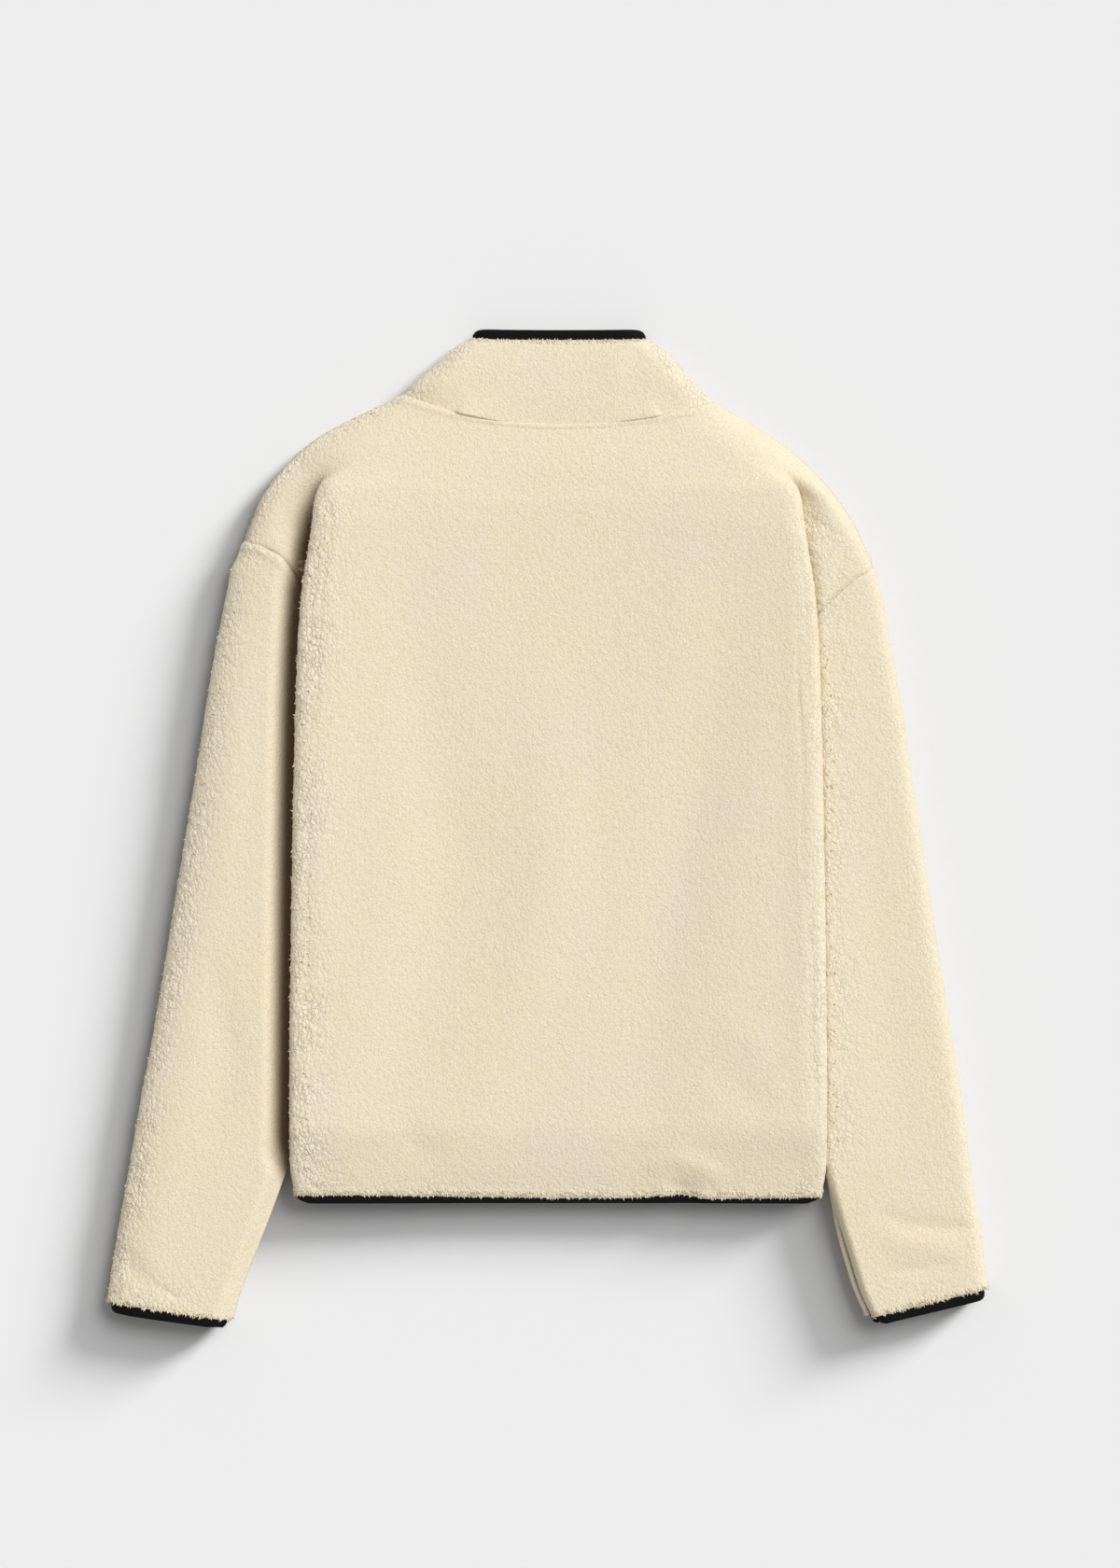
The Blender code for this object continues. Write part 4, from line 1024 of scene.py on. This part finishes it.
# Soft ridges and troughs: height, half width, then the points that each line passes through.
BACK_LINES = (
    (-2.6, 30, (-114, 540), (-107, 426), (-93, 335), (-79, 251), (-100, 153), (-125, 76), (-116, 20)),
    (2.4, 27, (-20, 430), (-6, 307), (-4, 237), (-23, 167), (-51, 104), (-69, 20)),
    (-2.6, 29, (134, 530), (127, 405), (106, 321), (89, 237), (71, 153), (57, 50)),
    (1.6, 20, (-172, 540), (-175, 400), (-180, 240), (-176, 150)),
    (1.6, 14, (171, 545), (186, 440), (188, 300), (189, 160), (190, 20)),
    (-0.9, 12, (-122, 60), (-104, 44), (-84, 30)),
    (-0.8, 12, (112, 96), (134, 86), (158, 66)),
    (0.8, 13, (118, 130), (142, 124), (160, 112)),
    (1.7, 8, (66, 24), (88, 34), (112, 25), (126, 14)),
    (-2.2, 7, (80, 12), (94, 9), (108, 7)),
    (-0.9, 2.1, (-177, 538), (-174, 520), (-178, 503), (-180, 482), (-183, 454), (-186, 419), (-187, 384)),
    (-0.7, 2.0, (-172, 531), (-169, 510), (-174, 482), (-177, 447), (-179, 412), (-181, 370), (-182, 321)),
    (-0.8, 2.1, (-188, 300), (-185, 262), (-188, 228), (-186, 190), (-188, 150), (-185, 104)),
    (-0.8, 2.1, (176, 520), (181, 480), (185, 440), (185, 400), (188, 350)),
    (-0.7, 2.0, (176, 470), (180, 430), (179, 380), (183, 330), (182, 280), (185, 230)),
    (-0.8, 2.1, (190, 250), (187, 214), (190, 180), (188, 132), (191, 90), (188, 46)),
)
SLEEVE_LINES = sides(
    (
        (-1.5, 14, (-262, 190), (-246, 110), (-262, 40)),
        (-1.6, 8, (-330, -30), (-316, -52), (-300, -66)),
        (1.0, 14, (-238, 430), (-246, 330), (-252, 220)),
        (-0.9, 2.6, (-303, -60), (-294, -67), (-283, -71)),
    ),
    (
        (-0.9, 18, (228, 320), (240, 200), (252, 100), (262, 10)),
        (-1.5, 7, (236, -6), (262, -17), (300, -20), (314, -18)),
        (1.3, 10, (245, -28), (275, -33), (305, -36)),
        (-0.8, 5, (240, -52), (270, -50), (300, -44)),
    ),
)
COLLAR_LINES = ((-0.8, 6, (-104, 604), (-92, 622), (-74, 646)), (0.7, 9, (40, 606), (44, 625), (38, 645)))

# Where the pile parts: its share at an edge and how many millimetres it fades out over.
STRIP_WIDTH, STRIP_TOP = 34.0, (560, 500)
BACK_RIM, SLEEVE_RIM = (0.9, 16.0), (1.1, 20.0)
HEM_RIM, CUFF_RIM, CUFF_Y, CUFF_SPREAD, CUFF_LEAST = (0.6, 30.0), (0.8, 50.0), -90, (240, 290), 0.2
COLLAR_END, COLLAR_END_X, COLLAR_END_Y = (0.9, 12.0), (104, 64), (602, 648)
COLLAR_TOP, COLLAR_TOP_Y = (0.7, 12.0), 652


def faded(rim, away):
    """The share of parted pile at a distance from a rim."""
    return rim[0] - away / rim[1]


def back_edges(middle):
    """Where the back's pile parts: along its folds and shoulders, and a little at the hem."""
    x, y = middle[..., 0], middle[..., 1]
    from_fold = fold_edge(y) - np.abs(x)
    fall = np.where(from_fold > 0, from_fold / STRIP_WIDTH, -from_fold / by_side(x, BEYOND_FOLD))
    at_fold = (by_side(x, STRIP_SHARE) - fall) * softly(y, *STRIP_TOP)
    outer = by_side(x, OUTER_SHARE) * faded(BACK_RIM, inside_outline(x, y))
    return np.maximum.reduce([at_fold, outer, faded(HEM_RIM, y)])


def sleeve_edges(side):
    """Where a sleeve's pile parts: along its outer edge, at its cuff and beside the body's fold."""
    def share(middle):
        x, y = np.abs(middle[..., 0]), middle[..., 1]
        at_cuff = faded(CUFF_RIM, y - CUFF_Y) * np.maximum(CUFF_LEAST, evenly(x, *CUFF_SPREAD))
        outer = OUTER_SHARE[side] * faded(SLEEVE_RIM, OUTLINES[side].inside(x, y))
        beside = BESIDE_SHARE[side] - np.abs(x - fold_edge(y)) / BEYOND_FOLD[side]
        return np.maximum.reduce([outer, at_cuff, beside])
    return share


def collar_edges(middle):
    """Where the collar's pile parts: at its ends and along its top."""
    x, y = np.abs(middle[..., 0]), middle[..., 1]
    end = np.interp(y, COLLAR_END_Y, COLLAR_END_X)
    return np.maximum(faded(COLLAR_END, end - x), faded(COLLAR_TOP, COLLAR_TOP_Y - y))


# How far the hem hangs over at places across it, how near the hem and how high above the floor that
# begins, and how the piece's corners are rounded.
HEM_X = (-199, -150, -73, 0, 50, 70, 92, 112, 150, 197)
HEM_OVERHANG = (0.5, 0.3, 1.5, 2.8, 2.8, 1.2, 0.6, 3.2, 2.6, 1.8)
HEM_FROM, HEM_ABOVE = (22, 6), 12
BACK_CORNER, CORNER_PLACE = (10.0, 3.2), (150, 190)

# The back above its folds: where its wing follows the sleeve and where the shoulders begin, their
# height at places up the back and their rounding, and where, how much and how often it is evened out.
WING_FROM, SHOULDER_FROM = (340, 360), (533, 548)
SHOULDER_Y, SHOULDER_TOP = (500, 530, 549, 562, 582.5, 602), (28, 27.5, 26.5, 25, 21.5, 20.2)
SHOULDER_ROUND, SHOULDER_SQUARE = 26, 2.2
EVEN_FROM, EVEN_ROUNDS = (537, 551), 160
EASE_FROM, EASE_ROUNDS, EASE_WIDTH = (488, 533), 14, 60
# A front is tucked under the wing from this far inside the fold's edge, and between these heights.
TUCK_INSIDE, TUCK_FROM, TUCK_TO = 3, 440, 560


def corner_inset(x, y, start, depth):
    """How far the hem's corners are drawn in, start being the height where their curve begins."""
    share = np.clip((start - y) / start, 0, 0.99)
    return np.sign(x) * depth * (1 - np.sqrt(1 - share ** 2)) * softly(np.abs(x), *CORNER_PLACE)


def wing_ends():
    """How far in from each side the back's wing ends, measured across the piece."""
    rows = back_rows()
    steps = np.linalg.norm(np.diff(rows, axis=1), axis=2).mean(axis=0)
    wing = np.searchsorted(FOLD_PLACES, WING_END)
    return steps[:wing].sum(), steps[len(steps) - wing:].sum()


def reshaped_back(grid, u):
    """A wing that follows the sleeve, full shoulders above the folds and an uneven, round-cornered hem."""
    grid = grid.copy()
    x, y = grid[..., 0], grid[..., 1]
    left, right = wing_ends()
    on_wing = softly(y, *WING_FROM) * (1 - softly(y, *SHOULDER_FROM))
    for side, wing in (("left", u < left), ("right", u > u.max() - right)):
        follows = upper_height(side, np.abs(x), y)
        grid[..., 2] += on_wing * wing * (follows - grid[..., 2])
    rounded = bulge(inside_outline(x, y) / SHOULDER_ROUND, SHOULDER_SQUARE)
    plain = EDGE_MID + (np.interp(y, SHOULDER_Y, SHOULDER_TOP) - EDGE_MID) * rounded
    grid[..., 2] += softly(y, *SHOULDER_FROM) * (plain - grid[..., 2])
    grid = relaxed(grid, softly(y, *EVEN_FROM), EVEN_ROUNDS)
    ease = by_side(x, TOP_EASE) * hump(np.abs(x) - fold_edge(y), EASE_WIDTH)
    grid = relaxed(grid, ease * softly(y, *EASE_FROM), EASE_ROUNDS)
    upper = grid[..., 2] > HEM_ABOVE
    grid[..., 1] -= evenly(y, *HEM_FROM) ** 2 * np.interp(x, HEM_X, HEM_OVERHANG) * upper
    grid[..., 0] -= corner_inset(x, y, *BACK_CORNER)
    return grid


def tucked_front(side):
    """A front stays under the wing beside the fold's top."""
    def tuck(grid, _):
        grid = grid.copy()
        x, y = np.abs(grid[..., 0]), grid[..., 1]
        lower = (WALL + SEAM_GAP) * bulge(OUTLINES[side].inside(x, y) / ROUND_LOWER)
        under = np.minimum(grid[..., 2], upper_height(side, x, y) - lower)
        beside = (x > fold_edge(y) - TUCK_INSIDE) & (y > TUCK_FROM) & (y < TUCK_TO)
        grid[..., 2] = np.where(beside, np.maximum(under, FLOOR_MID), grid[..., 2])
        return grid
    return tuck


# How far apart the points of each piece's outer face are.
PIECE_SPACING = {"back": 1.92, "front": 3.2, "sleeve": 1.75, "collar": 1.5}
# Tufts over an edge: the piece, its first or last row, tufts in a millimetre, their length and seed.
# Tufts on a face: the piece, the least share of parted pile that they stand on, length and seed.
TUFTS = {
    "hem_tufts": (fringe, "back_panel", 0, 2.4, 2.0, 1),
    "collar_tufts": (fringe, "collar", -1, 1.8, 1.5, 2),
    "cuff_tufts_left": (fringe, "sleeve_left", -1, 2.0, 2.4, 3),
    "sleeve_fluff_left": (fluff, "sleeve_left", 0.6, 2.4, 4),
    "cuff_tufts_right": (fringe, "sleeve_right", -1, 2.0, 2.4, 3),
    "sleeve_fluff_right": (fluff, "sleeve_right", 0.42, 2.4, 4),
    "back_fluff": (fluff, "back_panel", 0.6, 2.4, 5),
}
# Bindings: how far each reaches, as a share of its profile, and how much its edge and its rim narrow.
HEM_BAND, COLLAR_BAND, CUFF_BAND = (1.2, (0.0, 0.0)), (1.4, (0.0, 0.1)), (1.3, (0.07, 0.13))


def fleece():
    """Every piece of fleece, in place of its solid, and the tufts on it."""
    made = {"back_panel": Fleece("back_fleece", back_rows(), PIECE_SPACING["back"], 1, BACK_LINES,
                                 back_edges, (1,), reshaped_back)}
    for side, sign in SIGN.items():
        made["front_" + side] = Fleece(f"front_{side}_fleece", front_rows(side), PIECE_SPACING["front"],
                                       sign, reshape=tucked_front(side))
        made["sleeve_" + side] = Fleece(f"sleeve_{side}_fleece", sleeve_rows(side), PIECE_SPACING["sleeve"],
                                        -sign, SLEEVE_LINES[side], sleeve_edges(side), (0,))
    made["collar"] = Fleece("collar_fleece", collar_rows(), PIECE_SPACING["collar"], 1, COLLAR_LINES,
                            collar_edges)
    for name, piece in made.items():
        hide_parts(name)
    for name, (kind, piece, *sizes) in TUFTS.items():
        kind(name, made[piece], *sizes)
    return made


def bindings(made):
    """A binding over the hem, the collar's top and each cuff, in place of its solid."""
    left, back, right, collar = (made[name] for name in ("front_left", "back_panel", "front_right", "collar"))
    path = np.concatenate([left.middle[0, ::-1], back.middle[0], right.middle[0]])
    normals = np.concatenate([left.normal[0, ::-1], back.normal[0], right.normal[0]])
    path[:, 1] = BODY_ROWS[0][0]
    bands = {"hem_binding": band("hem_band", path, (0, -1, 0), normals, *HEM_BAND, corners=True),
             "collar_binding": band("collar_band", collar.middle[-1], (0, 1, 0), collar.normal[-1],
                                    *COLLAR_BAND)}
    for side in SIGN:
        sleeve = made["sleeve_" + side]
        way = (sleeve.middle[-1] - sleeve.middle[-5]).mean(axis=0) * [1, 1, 0]
        bands["cuff_binding_" + side] = band("cuff_band_" + side, sleeve.middle[-1], way,
                                             sleeve.normal[-1], *CUFF_BAND)
    for name, piece in bands.items():
        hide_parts(name)
    return bands


# The zip: places across a tape with its half thicknesses, and a tooth's outline seen from above.
TAPE_LEVEL = 4.7
TAPE_PROFILE = ((2.2, 0.45), (2.5, 0.75), (3.1, 0.75), (3.6, 0.36), (14.4, 0.36), (15.0, 0.2))
TAPE_ENDS = (0.5, 606.0)
TAPE_ROWS = 61
# Teeth: their pitch, what the chain leaves free at each end, and where a tooth narrows towards.
TOOTH_PITCH, CHAIN_MARGIN, TOOTH_MIDDLE = 3.1, 1.0, 1.0
TOOTH = ((3.0, -0.7), (1.2, -0.7), (0.55, -0.45), (-0.2, -0.78), (-0.85, -0.55),
         (-0.85, 0.55), (-0.2, 0.78), (0.55, 0.45), (1.2, 0.7), (3.0, 0.7))
TOOTH_LEVELS = ((3.75, 0.86), (4.05, 1.0), (5.35, 1.0), (5.65, 0.86))


def zip_tape(side):
    """One woven tape with its corded inner edge, from the hem to the collar's top."""
    loop = [(x, TAPE_LEVEL - half) for x, half in TAPE_PROFILE]
    loop += [(x, TAPE_LEVEL + half) for x, half in TAPE_PROFILE[::-1]]
    along = np.linspace(*TAPE_ENDS, TAPE_ROWS)
    points = [(SIGN[side] * x, y, z) for y in along for x, z in loop]
    faces = bar_faces(len(along), len(loop), flip=side == "right")
    return add_mesh(f"zip_tape_{side}_woven", points, faces, TAPE)


def zip_teeth():
    """Both rows of moulded teeth, each one standing between two of the other row."""
    low, high = ((corner[1] - SHIFT[1]) / MM for corner in CHAIN_BOX)
    points, faces = [], []
    count = int((high - low - 2 * CHAIN_MARGIN) / TOOTH_PITCH * 2)
    for index in range(count):
        sign, y = (-1, 1)[index % 2], low + CHAIN_MARGIN + index * TOOTH_PITCH / 2
        first = len(points)
        for z, size in TOOTH_LEVELS:
            points += [(sign * (TOOTH_MIDDLE + (a - TOOTH_MIDDLE) * size), y + b * size, z)
                       for a, b in TOOTH]
        faces += bar_faces(len(TOOTH_LEVELS), len(TOOTH), first, flip=sign < 0)
    return add_mesh("zip_teeth", points, faces, CHAIN)


def zip_fastener():
    for side in SIGN:
        tape = zip_tape(side)
        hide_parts("zip_tape_" + side)
    teeth = zip_teeth()
    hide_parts("zip_chain")
    for name, look in (("zip_box", CHAIN), ("zip_slider", METAL), ("zip_pull", METAL)):
        for place in bpy.data.objects[name].material_slots:
            place.material = look


cloth = fleece()
bindings(cloth)
zip_fastener()

# --- studio ---

# How much the camera takes in, in metres, at the height of the jacket's middle, and what it looks at.
FRAME_HEIGHT = 1.176
FRAME_CENTRE = (0.0095, 0.0337)
FOCAL, SENSOR = 90.0, 36.0
MIDDLE_HEIGHT = 0.02
# Each sun's strength, how wide it looks, how high it stands and which way it comes from, in degrees.
KEY, LOW_LAMP = (2.6, 38, 44, 42), (9.6, 17, 18, 38)
WORLD_STRENGTH = 0.46
FLOOR_HALF = 6


def sun(name, energy, softness, height, around):
    lamp = bpy.data.lights.new(name, "SUN")
    lamp.energy, lamp.angle = energy, math.radians(softness)
    made = bpy.data.objects.new(name, lamp)
    made.rotation_euler = (0.0, math.radians(90 - height), math.radians(around))
    bpy.context.scene.collection.objects.link(made)
    return made


def studio():
    """Pale paper under a soft key light. A low lamp lights only the paper, so the shadow stays soft."""
    scene = bpy.context.scene
    scene.view_settings.view_transform = "Standard"
    camera = bpy.data.objects.new("camera", bpy.data.cameras.new("camera"))
    camera.data.lens, camera.data.sensor_width = FOCAL, SENSOR
    camera.location = (*FRAME_CENTRE, MIDDLE_HEIGHT + FRAME_HEIGHT * FOCAL / SENSOR)
    scene.collection.objects.link(camera)
    scene.camera = camera
    sun("key", *KEY)
    world = bpy.data.worlds.new("studio")
    world.use_nodes = True
    sky = world.node_tree.nodes["Background"].inputs
    sky["Color"].default_value, sky["Strength"].default_value = (1, 1, 1, 1), WORLD_STRENGTH
    scene.world = world
    mesh = bpy.data.meshes.new("floor")
    corners = [(FLOOR_HALF * x, FLOOR_HALF * y, 0) for x, y in ((-1, -1), (1, -1), (1, 1), (-1, 1))]
    mesh.from_pydata(corners, [], [(0, 1, 2, 3)])
    mesh.materials.append(matt_paper())
    floor = bpy.data.objects.new("floor", mesh)
    scene.collection.objects.link(floor)
    paper_only = bpy.data.collections.new("paper only")
    paper_only.objects.link(floor)
    sun("low lamp for the paper", *LOW_LAMP).light_linking.receiver_collection = paper_only


studio()
